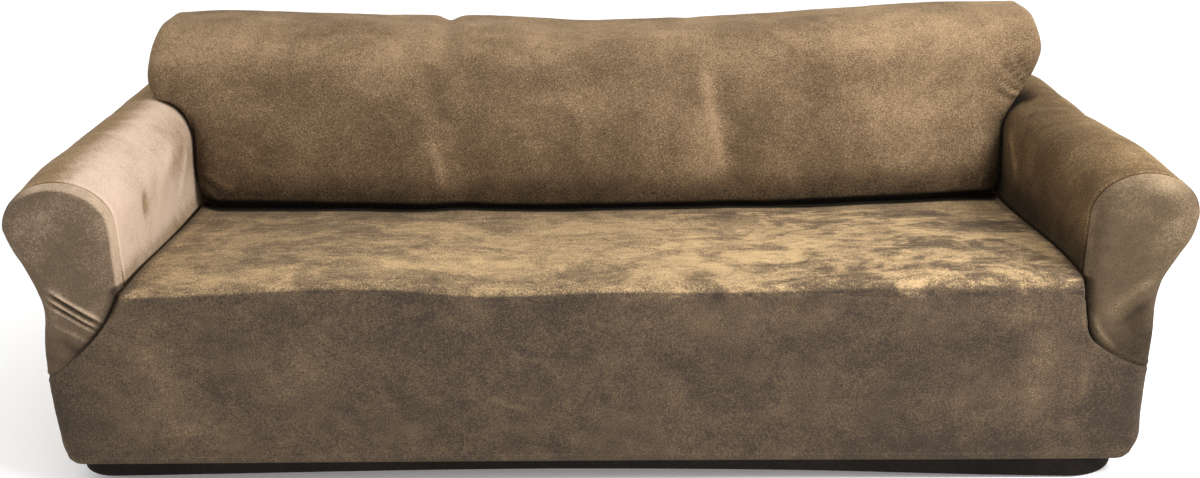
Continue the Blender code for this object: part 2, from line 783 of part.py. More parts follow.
def make_outside_back():
    """The plain piece that covers the rear, from the hem up to the seam under the top."""
    outlines = {name: arm_outline(name, REAR_Y - EDGE_R)[ROLL_TOP + 1 :][::-1] for name in ARMS}
    ends = [End(left, right) for left, right in zip(outlines["left"], outlines["right"])]
    ends += back_ends_over_arms(REAR_SEAM_Z, SEAM_STEPS)
    rows = []
    for k, end in enumerate(ends):
        (x_left, z_left), (x_right, z_right) = end
        down = SEAM_GAP / 2 if k == len(ends) - 1 else 0.0
        slope = (z_right - z_left) / (x_left + x_right)
        row = []
        for x, inset in rolled_in(steps(EDGE_R - x_left, x_right - EDGE_R, REAR_COLUMNS), EDGE_R):
            clear = SEAM_GAP / 2 if math.isclose(inset, EDGE_R) else 0.0
            row.append((x, REAR_Y - inset + clear, z_left + slope * (x + x_left) - down))
        rows.append(row)
    return [rows]


# ---------------------------------------------------------------- the hem
def make_hem():
    """The elastic hem: a band that runs all round under the lower edge."""
    half_x = min(FLANK[0].left, FLANK[0].right) - HEM_INSET
    half_y = -FRONT_Y - CLOTH - HEM_CLEAR
    path = []
    for turn, corner in enumerate(HEM_CORNERS):
        centre_x = corner.side * (half_x - corner.radius)
        centre_y = corner.depth * (half_y - corner.radius)
        for degrees in steps(turn * 90 - 90, turn * 90, HEM_CORNER_STEPS):
            angle = math.radians(degrees)
            across, along = math.cos(angle), math.sin(angle)
            path.append((centre_x + corner.radius * across, centre_y + corner.radius * along))
        after = HEM_CORNERS[(turn + 1) % len(HEM_CORNERS)]
        x, y = path[-1]
        if turn % 2:
            x_next, y_next, count = after.side * (half_x - after.radius), y, HEM_LONG_STEPS
        else:
            x_next, y_next, count = x, after.depth * (half_y - after.radius), HEM_SHORT_STEPS
        path += [(x + (x_next - x) * t, y + (y_next - y) * t) for t in steps(0.0, 1.0, count)[1:-1]]
    path.append(path[0])
    low = [(x, y, read(HEM, "elastic", x)) for x, y in path]
    high = [(x, y, read(HEM, "drop", x) + HEM_TUCK) for x, y in path]
    return [[low, high]]


# ---------------------------------------------------------------- building
def velvet(name, colour):
    """A plain velvet finish of one colour."""
    material = bpy.data.materials.new(name)
    material.use_nodes = True
    shader = material.node_tree.nodes["Principled BSDF"]
    shader.inputs["Base Color"].default_value = (*colour, 1.0)
    shader.inputs["Roughness"].default_value = 0.9
    shader.inputs["Metallic"].default_value = 0.0
    return material


def thicken(shape):
    """Gives a sheet its thickness inwards. Its inner edges stand back, so that sewn pieces stay clear."""
    shape.normal_update()
    places = {}
    for vert in shape.verts:
        places[vert] = vert.co - vert.normal * CLOTH
        if vert.is_boundary:
            centres = [face.calc_center_median() - vert.co for face in vert.link_faces]
            along = sum(centres, Vector())
            along -= vert.normal * along.dot(vert.normal)
            places[vert] += along.normalized() * EDGE_LEAN
    faces = [list(face.verts) for face in shape.faces]
    rim = [edge.link_loops[0] for edge in shape.edges if edge.is_boundary]
    rim = [(loop.link_loop_next.vert, loop.vert) for loop in rim]
    inner = {vert: shape.verts.new(place) for vert, place in places.items()}
    for face in faces:
        shape.faces.new([inner[vert] for vert in reversed(face)])
    for start, end in rim:
        shape.faces.new((start, end, inner[end], inner[start]))


def make_sheet(name, patches, inside, finish, collection):
    """Joins patches of points into one sheet, faces it away from inside, and gives it its thickness."""
    shape = bmesh.new()
    for rows in patches:
        grid = [[shape.verts.new(point) for point in row] for row in rows]
        for near, far in zip(grid, grid[1:]):
            for k in range(len(near) - 1):
                shape.faces.new((near[k], near[k + 1], far[k + 1], far[k]))
    bmesh.ops.remove_doubles(shape, verts=shape.verts, dist=MERGE)
    bmesh.ops.dissolve_degenerate(shape, edges=shape.edges, dist=MERGE)
    bmesh.ops.recalc_face_normals(shape, faces=shape.faces)
    away = [face.normal.dot(face.calc_center_median() - Vector(inside)) for face in shape.faces]
    if sum(face.calc_area() * out for face, out in zip(shape.faces, away)) < 0:
        bmesh.ops.reverse_faces(shape, faces=shape.faces)
    thicken(shape)
    mesh = bpy.data.meshes.new(name)
    shape.to_mesh(mesh)
    shape.free()
    mesh.shade_smooth()
    mesh.materials.append(finish)
    piece = bpy.data.objects.new(name, mesh)
    collection.objects.link(piece)


def main():
    """Clears the scene and builds every cut piece of the cover."""
    for old in list(bpy.data.objects):
        bpy.data.objects.remove(old, do_unlink=True)
    collection = bpy.data.collections.new("sofa_slipcover")
    bpy.context.scene.collection.children.link(collection)
    finish = {name: velvet(f"velvet_{name}", colour) for name, colour in VELVET.items()}

    make_sheet("seat_and_front", make_seat_and_front(), (0.0, 0.1, 0.1), finish["seat"], collection)
    make_sheet("inside_back", make_inside_back(), (0.0, 0.32, 0.55), finish["back"], collection)
    make_sheet("outside_back", make_outside_back(), (0.0, 0.0, 0.4), finish["rear"], collection)
    for name, arm in ARMS.items():
        middle = (arm.side * arm.roll_x, 0.0, arm.roll_z - 0.03)
        make_sheet(f"arm_{name}", make_arm(name), middle, finish["arm"], collection)
        make_sheet(f"arm_face_{name}", make_face(name), middle, finish["face"], collection)
        make_sheet(f"back_end_{name}", make_back_end(name), (0.0, 0.3, 0.66), finish["back"], collection)
    make_sheet("elastic_hem", make_hem(), (0.0, 0.0, 0.03), finish["hem"], collection)


if __name__ == "__main__":
    main()
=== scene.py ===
"""The looks of a fitted stretch-velvet cover for a three-seat sofa with rolled arms.

Metres, +Z up, +X to the viewer's right, +Y to the rear. Each cut piece is a sheet whose outer face is worked
out from named sizes, as fine grids of points. The grids are welded, the folds and seams are pressed into the
cloth along its normals, and Solidify gives it its thickness inwards.
"""

import logging
import math
from dataclasses import dataclass, field
from enum import Enum
from typing import Callable, ClassVar, Iterable, Optional

import bmesh
import bpy
import numpy as np
from mathutils import Matrix, Vector
from mathutils.bvhtree import BVHTree
from mathutils.kdtree import KDTree


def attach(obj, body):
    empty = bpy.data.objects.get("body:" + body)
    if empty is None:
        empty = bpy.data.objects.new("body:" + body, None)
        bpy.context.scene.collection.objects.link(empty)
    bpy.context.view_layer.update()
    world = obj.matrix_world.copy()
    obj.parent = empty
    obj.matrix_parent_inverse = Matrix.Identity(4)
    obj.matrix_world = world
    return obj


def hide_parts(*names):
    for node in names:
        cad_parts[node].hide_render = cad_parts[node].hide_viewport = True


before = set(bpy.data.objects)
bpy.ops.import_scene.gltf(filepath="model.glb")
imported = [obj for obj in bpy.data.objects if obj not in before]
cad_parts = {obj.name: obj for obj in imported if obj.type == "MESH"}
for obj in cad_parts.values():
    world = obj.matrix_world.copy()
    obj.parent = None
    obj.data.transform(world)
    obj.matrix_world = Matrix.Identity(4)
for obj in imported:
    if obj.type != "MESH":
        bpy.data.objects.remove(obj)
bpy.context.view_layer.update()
LOG = logging.getLogger("sofa_cover")
Array = np.ndarray
Point = tuple[float, float, float]


# ---------------------------------------------------------------- sizes
class Side(Enum):
    """The two ends of the sofa; the value is the sign of x there."""

    LEFT = -1.0
    RIGHT = 1.0


@dataclass(frozen=True)
class Profile:
    """A size that changes along the cover: values at a few places, read on an even curve between them."""

    places: tuple[float, ...]
    values: tuple[float, ...]

    def at(self, place: Array | float) -> Array:
        """Reads the curve.

        Args:
            place: where to read it; past the ends it keeps its end values.

        Returns:
            The value at each place.
        """
        order = np.argsort(self.places)
        places, values = np.array(self.places)[order], np.array(self.values)[order]
        slopes = np.gradient(values, places)
        at = np.clip(np.asarray(place, float), places[0], places[-1])
        i = np.clip(np.searchsorted(places, at, side="right") - 1, 0, len(places) - 2)
        width = places[i + 1] - places[i]
        t = (at - places[i]) / width
        start, end = values[i] * (1 + 2 * t) * (1 - t) ** 2, values[i + 1] * t * t * (3 - 2 * t)
        return start + end + slopes[i] * width * t * (1 - t) ** 2 - slopes[i + 1] * width * t * t * (1 - t)


@dataclass(frozen=True)
class CoverSizes:
    """Sizes that the whole cover shares."""

    cloth: float = 0.002
    weld: float = 0.00006
    sliver: float = 0.00004
    front_y: float = -0.450
    rear_y: float = 0.450
    edge_r: float = 0.040
    top_corner_r: float = 0.024
    corner_r: float = 0.034
    face_recess: float = 0.012
    recess_low: float = 0.280
    recess_high: float = 0.410
    swell_full_y: float = -0.250
    swell_rear_y: float = 0.150
    swell_low_z: float = 0.360
    swell_high_z: float = 0.520
    seat_rear_y: float = 0.090
    seat_rear_z: float = 0.386
    seat_flat_before: float = 0.060
    seat_crown: float = 0.008
    under_edge_z: float = 0.350
    seat_side_r: float = 0.018
    seat_under_back: float = 0.012
    groove_clear: float = 0.0018
    face_groove_r: float = 0.014
    face_groove_tuck: float = 0.003
    back_foot_r: float = 0.022
    back_corner_depth: float = 0.042
    back_rise_z: float = 0.640
    back_top_reach: float = 0.100
    back_bows_from_x: float = 0.250
    back_bows_to_x: float = 0.950
    on_roll_y: float = 0.150
    lean_step: float = 0.010
    rear_top_r: float = 0.044
    rear_seam_z: float = 0.685
    back_face_foot_z: float = 0.405
    tip_z: float = 0.227
    tip_turn_z: float = 0.256
    hem_inset: float = 0.004
    hem_clear: float = 0.0004
    hem_tuck: float = 0.006


SIZES = CoverSizes()
SEAT_HEIGHT = Profile(
    (-0.90, -0.74, -0.52, -0.37, -0.25, 0.00, 0.28, 0.50, 0.74, 0.90),
    (0.409, 0.415, 0.424, 0.421, 0.410, 0.413, 0.412, 0.421, 0.423, 0.418),
)
SEAT_EDGE_R = Profile(
    (-0.90, -0.74, -0.52, -0.37, -0.25, 0.00, 0.28, 0.50, 0.74, 0.90),
    (0.018, 0.020, 0.020, 0.022, 0.024, 0.022, 0.026, 0.034, 0.046, 0.036),
)
BACK_HEIGHTS = (0.405, 0.485, 0.565, 0.625, 0.725)
BACK_MIDDLE = Profile(BACK_HEIGHTS, (0.058, 0.060, 0.082, 0.120, 0.178))
TOP_HEIGHT = Profile(
    (-1.00, -0.89, -0.68, -0.44, -0.24, 0.01, 0.24, 0.48, 0.72, 1.00),
    (0.765, 0.769, 0.763, 0.756, 0.750, 0.739, 0.744, 0.757, 0.770, 0.774),
)
HEM_PLACES = (-1.00, 0.00, 0.37, 0.77, 1.00)
DROP_EDGE = Profile(HEM_PLACES, (0.054, 0.049, 0.046, 0.042, 0.041))
ELASTIC_EDGE = Profile(HEM_PLACES, (0.027, 0.031, 0.023, 0.007, 0.000))
FLANK_HEIGHTS = (0.041, 0.075, 0.125, 0.305, 0.370, 0.405, 0.455, 0.495, 0.529)
GROOVE_PLACES = (-0.45, -0.39, -0.32, -0.17, -0.02, 0.15)
SEAM_HEIGHTS = (0.415, 0.391, 0.364, 0.335, 0.305, 0.275, 0.250, 0.241, 0.234, 0.229, 0.227)
END_HEIGHTS = (0.560, 0.608, 0.645, 0.695, 0.735)


def ease(low: float, high: float, at: Array | float) -> Array:
    """0 below low, 1 above high, and an even S between."""
    t = np.clip((np.asarray(at, float) - low) / (high - low), 0.0, 1.0)
    return t * t * (3 - 2 * t)


@dataclass(frozen=True)
class HemCorner:
    """A corner that the elastic hem cuts across in a wide curve: signs of x and y there, and the radius."""

    side: int
    depth: int
    radius: float


HEM_CORNERS = (
    HemCorner(1, -1, 0.120),
    HemCorner(1, 1, 0.080),
    HemCorner(-1, 1, 0.080),
    HemCorner(-1, -1, 0.080),
)


TROUGH_LOW_Z, TROUGH_HIGH_Z = 0.40, 0.74
NOTCH_SHARE = 0.35  # width of a notch in the top, as a share of its trough's


@dataclass(frozen=True)
class Trough:
    """Soft upright hollow in the back where two cushions meet under the cloth."""

    low_x: float
    high_x: float
    half_width: float
    depth: float
    notch: float

    def share(self, x: Array, z: Array) -> Array:
        """1 along the deepest line, falling to 0 at its sides."""
        centre = self.low_x + (self.high_x - self.low_x) * ease(TROUGH_LOW_Z, TROUGH_HIGH_Z, z)
        return np.exp(-(((x - centre) / self.half_width) ** 2))


TROUGHS = (Trough(-0.300, -0.345, 0.060, 0.014, 0.012), Trough(0.285, 0.215, 0.075, 0.012, 0.003))


@dataclass(frozen=True)
class BackCorner:
    """A lower corner of the back, rounded off and pressed back beside an arm."""

    side: Side
    radius: float


BACK_CORNERS = (BackCorner(Side.LEFT, 0.075), BackCorner(Side.RIGHT, 0.032))


@dataclass(frozen=True)
class ArmShape:
    """One rolled arm of the sofa under the cloth."""

    side: Side
    wall_x: float
    outer_x: float
    roll_z: float
    roll_rise: float
    swell: float
    swell_rear: float
    seam_y: float
    flank: Profile
    groove: Profile
    face_seam: Profile
    back_face: Profile
    back_end: Profile

    @property
    def word(self) -> str:
        """The side's name as it stands in the names of pieces."""
        return self.side.name.lower()

    @property
    def roll_x(self) -> float:
        """Distance of the roll's axis from the middle of the sofa."""
        return (self.wall_x + self.outer_x) / 2

    def swell_at(self, y: Array) -> Array:
        """How much fuller the roll is at y than at the edge of its face."""
        fuller = self.swell * ease(SIZES.front_y, SIZES.swell_full_y, y)
        return fuller + (self.swell_rear - self.swell) * ease(SIZES.swell_full_y, SIZES.swell_rear_y, y)

    def roll(self, angle: Array, y: Array, inset: Array | float = 0.0) -> tuple[Array, Array]:
        """Finds points on the roll.

        Args:
            angle: degrees; 0 points outwards and 180 to the seat.
            y: place along the arm.
            inset: distance in from the surface.

        Returns:
            Distance from the middle of the sofa, and height.
        """
        turn, fuller = np.radians(angle), self.swell_at(y)
        across = (self.outer_x - self.wall_x) / 2 + np.where(np.asarray(angle) < 90, fuller, 0.0) - inset
        rise = self.roll_rise + fuller - inset
        return self.roll_x + across * np.cos(turn), self.roll_z + rise * np.sin(turn)

    def flank_x(self, y: Array, z: Array) -> Array:
        """How far out the outer side lies."""
        return self.flank.at(z) + self.swell_at(y) * ease(SIZES.swell_low_z, SIZES.swell_high_z, z)

    def recess(self, z: Array) -> Array:
        """How far the face of the arm sits behind the front drop at a height."""
        return SIZES.face_recess * ease(SIZES.recess_low, SIZES.recess_high, z)

    def around(self, along: Array, z: Array, y_face: Array) -> tuple[Array, Array]:
        """Follows the front around its corner to the side.

        Args:
            along: distance from the middle of the sofa, measured on the cloth.
            z: height.
            y_face: where the flat of the front lies.

        Returns:
            Distance from the middle, and y.
        """
        corner = SIZES.corner_r
        out = self.flank_x(np.asarray(self.seam_y), z)
        turn = (along - (out - corner)) / corner
        bend = np.clip(turn, 0.0, math.pi / 2)
        x = np.where(turn <= 0, along, out - corner * (1 - np.sin(bend)))
        y = y_face + corner * (1 - np.cos(bend)) + corner * np.maximum(turn - math.pi / 2, 0.0)
        return x, y

    def front_reach(self, z: Array, y_face: Array) -> Array:
        """Distance from the middle, around the corner, to the side seam."""
        corner = SIZES.corner_r
        side = self.seam_y - (y_face + corner)
        return self.flank_x(np.asarray(self.seam_y), z) - corner + corner * math.pi / 2 + side

    def seam_along(self, z: Array) -> Array:
        """Distance from the middle to the seam beside the arm's face at a height."""
        reach = self.front_reach(z, np.asarray(SIZES.front_y))
        return np.where(np.asarray(z) <= SIZES.tip_z, reach, np.minimum(self.face_seam.at(z), reach))

    def face(self, along: Array, z: Array) -> tuple[Array, Array]:
        """Distance from the middle, and y, on the arm's face; its inner edge is rounded like the outer."""
        x, y = self.around(along, z, SIZES.front_y + self.recess(z))
        near = np.clip(1 - (x - self.wall_x) / SIZES.corner_r, 0.0, 1.0)
        return x, y + SIZES.corner_r * (1 - np.sqrt(1 - near**2))


LEFT_ARM = ArmShape(
    side=Side.LEFT,
    wall_x=0.900,
    outer_x=1.101,
    roll_z=0.529,
    roll_rise=0.081,
    swell=0.0110,
    swell_rear=0.0090,
    seam_y=-0.392,
    flank=Profile(FLANK_HEIGHTS, (1.036, 1.050, 1.054, 1.055, 1.049, 1.056, 1.073, 1.091, 1.101)),
    groove=Profile(GROOVE_PLACES, (0.407, 0.406, 0.403, 0.391, 0.383, 0.379)),
    face_seam=Profile(
        SEAM_HEIGHTS, (0.901, 0.906, 0.919, 0.941, 0.969, 1.001, 1.036, 1.053, 1.069, 1.085, 1.098)
    ),
    back_face=Profile(BACK_HEIGHTS, (0.088, 0.094, 0.118, 0.152, 0.196)),
    back_end=Profile(END_HEIGHTS, (0.925, 0.978, 1.003, 1.006, 1.000)),
)
RIGHT_ARM = ArmShape(
    side=Side.RIGHT,
    wall_x=0.908,
    outer_x=1.107,
    roll_z=0.531,
    roll_rise=0.079,
    swell=0.0056,
    swell_rear=-0.0100,
    seam_y=-0.400,
    flank=Profile(FLANK_HEIGHTS, (1.034, 1.049, 1.048, 1.048, 1.049, 1.056, 1.080, 1.101, 1.107)),
    groove=Profile(GROOVE_PLACES, (0.405, 0.411, 0.412, 0.401, 0.389, 0.379)),
    face_seam=Profile(
        SEAM_HEIGHTS, (0.909, 0.909, 0.910, 0.914, 0.921, 0.953, 1.000, 1.025, 1.047, 1.067, 1.083)
    ),
    back_face=Profile(BACK_HEIGHTS, (0.112, 0.126, 0.150, 0.176, 0.208)),
    back_end=Profile(END_HEIGHTS, (0.914, 0.949, 0.977, 1.002, 0.999)),
)
ARMS = (LEFT_ARM, RIGHT_ARM)


def to_wall(x: Array) -> Array:
    """Distance from a place on the seat to the wall of the nearer arm."""
    return by_side(x, LEFT_ARM.wall_x, RIGHT_ARM.wall_x) - np.abs(x)


def by_side(x: Array, left: Array | float, right: Array | float) -> Array:
    """Takes the left value where x is negative, and the right one elsewhere."""
    return np.where(np.asarray(x) < 0, left, right)


def back_y(x: Array, z: Array) -> Array:
    """How far back the front of the back lies."""
    middle = BACK_MIDDLE.at(z)
    at_end = by_side(x, LEFT_ARM.back_face.at(z), RIGHT_ARM.back_face.at(z))
    y = middle + (at_end - middle) * ease(SIZES.back_bows_from_x, SIZES.back_bows_to_x, np.abs(x))
    return y + sum(trough.depth * trough.share(x, z) for trough in TROUGHS) + corner_turn(x, z)


def corner_turn(x: Array, z: Array) -> Array:
    """How much further back the cloth lies where a lower corner of the back is rounded off."""
    radius = by_side(x, *(corner.radius for corner in BACK_CORNERS))
    wall = by_side(x, LEFT_ARM.wall_x, RIGHT_ARM.wall_x)
    across = np.clip(1 - (wall - np.abs(x)) / radius, 0.0, 1.0)
    down = np.clip(1 - (z - SIZES.back_face_foot_z) / radius, 0.0, 1.0)
    return SIZES.back_corner_depth * ease(1.0, math.sqrt(2.0), np.hypot(across, down))


def top_z(x: Array) -> Array:
    """Height of the top of the back."""
    notches = sum(t.notch * np.exp(-(((x - t.high_x) / (NOTCH_SHARE * t.half_width)) ** 2)) for t in TROUGHS)
    return TOP_HEIGHT.at(x) - notches


def over_top(x: Array, share: float) -> tuple[Array, Array]:
    """Curve from the front of the back to its top.

    Args:
        x: places across the back.
        share: how far along the curve, from 0 to 1.

    Returns:
        y and z of its points.
    """
    low = SIZES.back_rise_z
    y_start, z_top = back_y(x, low), top_z(x)
    lean = (y_start - back_y(x, low - SIZES.lean_step)) / SIZES.lean_step
    y_turn = y_start + lean * (z_top - low)
    start, turn, end = (1 - share) ** 2, 2 * share * (1 - share), share**2
    y = start * y_start + turn * y_turn + end * (y_turn + SIZES.back_top_reach)
    return y, start * low + (turn + end) * z_top


def stack(x: Array, y: Array, z: Array) -> Array:
    """Joins coordinates into rows of points."""
    return np.stack(np.broadcast_arrays(x, y, z), axis=-1)


# ---------------------------------------------------------------- folds and tones in the cloth
class Seen(Enum):
    """Side from which a shape is laid on the cloth: the two axes that count, then the one that doesn't."""

    FRONT = (0, 2, 1)
    ABOVE = (0, 1, 2)
    END = (1, 2, 0)


FOLD_REACH = 3.2  # how many of its widths a fold is felt to each side


@dataclass(frozen=True)
class Fold:
    """A soft ridge, or a trough where the height is negative, along a smooth path on the cloth."""

    path: tuple[Point, ...]
    width: float
    height: float
    seen: Seen = Seen.FRONT
    fade: float = 0.3
    depth: float = 0.08
    # Painted light and shade: the crest is painted lighter, or a trough darker, by this much.
    shade: float = 0.35

    def line(self, count: int = 28) -> Array:
        """Points along the path, on an even curve through its own few points."""
        points = np.array(self.path)
        places = tuple(np.linspace(0.0, 1.0, len(points)))
        t = np.linspace(0.0, 1.0, count)
        return np.stack([Profile(places, tuple(points[:, axis])).at(t) for axis in range(3)], axis=1)

    def at(self, points: Array) -> Array:
        """Height of the fold at points of the cloth.

        Args:
            points: places on the cloth, one a row.

        Returns:
            How far each one is raised.
        """
        line, *counted = self.line(), *self.seen.value[:2]
        ignored = self.seen.value[2]
        raised = np.zeros(len(points))
        flat, reach = line[:, counted], FOLD_REACH * self.width
        here = points[:, counted]
        near = np.all((here > flat.min(0) - reach) & (here < flat.max(0) + reach), axis=1)
        near &= np.abs(points[:, ignored] - line[:, ignored].mean()) < self.depth
        if not near.any():
            return raised
        here = here[near]
        start, step = flat[:-1], np.diff(flat, axis=0)
        offset = here[:, None, :] - start
        share = np.clip((offset * step).sum(2) / (step**2).sum(1), 0.0, 1.0)
        gap = np.linalg.norm(offset - share[..., None] * step, axis=2)
        nearest = gap.argmin(1)
        rows = np.arange(len(here))
        along = (nearest + share[rows, nearest]) / len(step)
        ends = ease(0.0, self.fade, along) * ease(0.0, self.fade, 1 - along)
        raised[near] = self.height * np.exp(-((gap[rows, nearest] / self.width) ** 2)) * ends
        return raised


@dataclass(frozen=True)
class Unevenness:
    """Random soft waves of the cloth, as a sum of plane waves with seeded directions."""

    height: float
    shortest: float
    longest: float
    seed: int
    count: int = 18

    def at(self, points: Array) -> Array:
        """Height of the waves at each point."""
        dice = np.random.default_rng(self.seed)
        directions = dice.normal(size=(self.count, 3))
        directions /= np.linalg.norm(directions, axis=1)[:, None]
        lengths = self.shortest * (self.longest / self.shortest) ** dice.random(self.count)
        phases = dice.random(self.count) * 2 * math.pi
        waves = np.cos(points @ (directions / lengths[:, None]).T * 2 * math.pi + phases)
        return self.height * waves.sum(1) / math.sqrt(self.count)


@dataclass(frozen=True)
class Patch:
    """A soft-edged area of nap brushed lighter or darker, or of painted light or shade; its size is zero
    along an axis to ignore.
    """

    centre: Point
    size: Point
    amount: float

    def at(self, points: Array) -> Array:
        """Its share at each point, times its amount."""
        counted = [axis for axis in range(3) if self.size[axis] > 0]
        away = (points[:, counted] - np.array(self.centre)[counted]) / np.array(self.size)[counted]
        return self.amount * np.exp(-((away**2).sum(1)))


# ---------------------------------------------------------------- shader maths
class Nodes:
    """Adds nodes to one material."""

    def __init__(self, material: bpy.types.Material) -> None:
        """Clears the material's nodes.

        Args:
            material: the material to fill.
        """
        material.use_nodes = True
        self.tree = material.node_tree
        self.tree.nodes.clear()

    def add(self, kind: str, settings: Optional[dict] = None, **inputs: object) -> bpy.types.Node:
        """Adds one node.

        Args:
            kind: the node's type.
            settings: the node's own options, set first; "stops" fills a colour ramp.
            inputs: values or links of its sockets; a key may be a name with _ for a space, or i0, i1, ...

        Returns:
            The node.
        """
        node = self.tree.nodes.new(kind)
        for name, value in (settings or {}).items():
            if name == "stops":
                ramp = node.color_ramp
                while len(ramp.elements) < len(value):
                    ramp.elements.new(1.0)
                for element, (place, colour) in zip(ramp.elements, value):
                    element.position, element.color = place, (*colour, 1.0)
            else:
                setattr(node, name, value)
        for key, value in inputs.items():
            number = key[1:] if key[0] == "i" and key[1:].isdigit() else ""
            socket = node.inputs[int(number)] if number else node.inputs[key.replace("_", " ")]
            if isinstance(value, Value):
                value = value.socket
            if isinstance(value, bpy.types.NodeSocket):
                self.tree.links.new(value, socket)
            else:
                socket.default_value = value
        return node

    def value(self, socket: bpy.types.NodeSocket) -> "Value":
        """Wraps a socket so that Python's operators work on it."""
        return Value(self, socket)

    def noise(self, at: bpy.types.NodeSocket, scale: float, detail: float, roughness: float = 0.55,
              warp: float = 0.0) -> "Value":
        """Noise at a place, from 0 to 1 about a half, bent out of shape by the warp."""
        inputs = {"Vector": at, "Scale": scale, "Detail": detail, "Roughness": roughness, "Distortion": warp}
        return self.value(self.add("ShaderNodeTexNoise", None, **inputs).outputs["Fac"])

    def place(self, scale: Point, turn: Point = (0.0, 0.0, 0.0)) -> bpy.types.NodeSocket:
        """Object coordinates, stretched and turned."""
        where = self.add("ShaderNodeTexCoord").outputs["Object"]
        node = self.add("ShaderNodeMapping", None, Vector=where, Scale=scale, Rotation=turn)
        return node.outputs["Vector"]

    def attribute(self, name: str) -> "Value":
        """A number kept on the mesh."""
        node = self.add("ShaderNodeAttribute", {"attribute_name": name})
        return self.value(node.outputs["Fac"])

    def mix(self, share: object, first: object, second: object) -> bpy.types.NodeSocket:
        """Mixes two colours by a share."""
        return self.add("ShaderNodeMix", {"data_type": "RGBA"}, i0=share, i6=first, i7=second).outputs[2]

    def ramp(self, at: "Value", stops: Iterable[tuple[float, Point]]) -> bpy.types.NodeSocket:
        """A colour from a ramp."""
        return self.add("ShaderNodeValToRGB", {"stops": list(stops)}, Fac=at).outputs["Color"]


@dataclass(frozen=True)
class Value:
    """A number socket whose arithmetic adds Math nodes."""

    nodes: Nodes
    socket: bpy.types.NodeSocket

    def _math(self, operation: str, *values: object, clamp: bool = False) -> "Value":
        """Adds one Math node on these values."""
        inputs = {f"i{k}": value for k, value in enumerate(values)}
        node = self.nodes.add("ShaderNodeMath", {"operation": operation, "use_clamp": clamp}, **inputs)
        return Value(self.nodes, node.outputs[0])

    def __add__(self, other: object) -> "Value":
        """Sum."""
        return self._math("ADD", self, other)

    __radd__ = __add__

    def __sub__(self, other: object) -> "Value":
        """Difference."""
        return self._math("SUBTRACT", self, other)

    def __rsub__(self, other: object) -> "Value":
        """Difference from a number."""
        return self._math("SUBTRACT", other, self)

    def __mul__(self, other: object) -> "Value":
        """Product."""
        return self._math("MULTIPLY", self, other)

    __rmul__ = __mul__

    def clamp(self) -> "Value":
        """Kept between 0 and 1."""
        return self._math("ADD", self, 0.0, clamp=True)

    def band(self, low: float, high: float) -> "Value":
        """0 below low, 1 above high, with an even S between."""
        inputs = {"Value": self, "From_Min": low, "From_Max": high}
        node = self.nodes.add("ShaderNodeMapRange", {"interpolation_type": "SMOOTHSTEP"}, **inputs)
        return Value(self.nodes, node.outputs[0])


# ---------------------------------------------------------------- finishes
Colour = tuple[float, float, float]


@dataclass(frozen=True)
class Velvet:
    """Stretch velvet: a short nap whose brushed areas look lighter or darker, and painted light and shade."""

    name: str
    dark: Colour
    middle: Colour
    light: Colour
    clouds: float = 0.50
    clouds_scale: float = 5.5
    flecks: float = 0.30
    flecks_scale: float = 24.0
    grain: float = 1.25
    fine_scale: float = 330.0
    finest_scale: float = 640.0
    marks: float = 0.34
    marks_stretch: Point = (7.0, 11.0, 9.0)
    marks_turn: float = 0.35
    marks_edges: tuple[float, float] = (0.44, 0.58)
    streaks: float = 0.0
    streaks_stretch: Point = (15.0, 38.0, 30.0)
    streaks_turn: float = 0.22
    # Near-black painted shade for creases and grooves.
    crease: Colour = (0.004, 0.003, 0.002)
    nap_strength: float = 0.35
    nap_height: float = 0.0012
    sheen: float = 0.05
    sheen_tint: Colour = (0.95, 0.78, 0.58)
    sheen_roughness: float = 0.40
    roughness: float = 0.92
    gloss: float = 0.05

    def make(self) -> bpy.types.Material:
        """Builds the material.

        Returns:
            The material.
        """
        material = bpy.data.materials.new(self.name)
        nodes = Nodes(material)
        even = nodes.place((1.0, 1.0, 1.0))
        clouds = nodes.noise(even, self.clouds_scale, detail=4.0, roughness=0.50)
        flecks = nodes.noise(even, self.flecks_scale, detail=5.0, roughness=0.65)
        across = nodes.place(self.marks_stretch, (0.0, 0.0, self.marks_turn))
        marks = nodes.noise(across, 1.0, detail=7.0, roughness=0.62, warp=0.9).band(*self.marks_edges)
        fine = nodes.noise(even, self.fine_scale, detail=2.0, roughness=0.7)
        finest = nodes.noise(even, self.finest_scale, detail=1.0)
        # The tone number holds brushed nap and also painted light and shade.
        shade = 0.5 + 0.5 * nodes.attribute("tone")
        shade = shade + self.clouds * (clouds - 0.5) + self.flecks * (flecks - 0.5)
        shade = shade + self.marks * nodes.attribute("brushed") * (marks - 0.5)
        if self.streaks:
            along = nodes.place(self.streaks_stretch, (0.0, 0.0, self.streaks_turn))
            streaks = nodes.noise(along, 1.0, detail=6.0, roughness=0.64, warp=1.4)
            shade = shade + self.streaks * nodes.attribute("brushed") * (streaks - 0.5)
        shade = (shade + self.grain * (fine - 0.5) + 0.5 * self.grain * (finest - 0.5)).clamp()
        colour = nodes.ramp(shade, ((0.0, self.dark), (0.5, self.middle), (1.0, self.light)))
        # Painted shade: the crease number darkens creases and grooves to near black.
        colour = nodes.mix(nodes.attribute("crease"), colour, (*self.crease, 1.0))
        height = 0.5 * finest + 0.7 * fine
        bump = nodes.add(
            "ShaderNodeBump", None, Strength=self.nap_strength, Distance=self.nap_height, Height=height
        )
        shader = nodes.add(
            "ShaderNodeBsdfPrincipled",
            None,
            Base_Color=colour,
            Roughness=self.roughness,
            Metallic=0.0,
            Sheen_Weight=self.sheen,
            Sheen_Roughness=self.sheen_roughness,
            Sheen_Tint=(*self.sheen_tint, 1.0),
            Normal=bump.outputs["Normal"],
        )
        shader.inputs["Specular IOR Level"].default_value = self.gloss
        nodes.add("ShaderNodeOutputMaterial", None, Surface=shader.outputs["BSDF"])
        return material


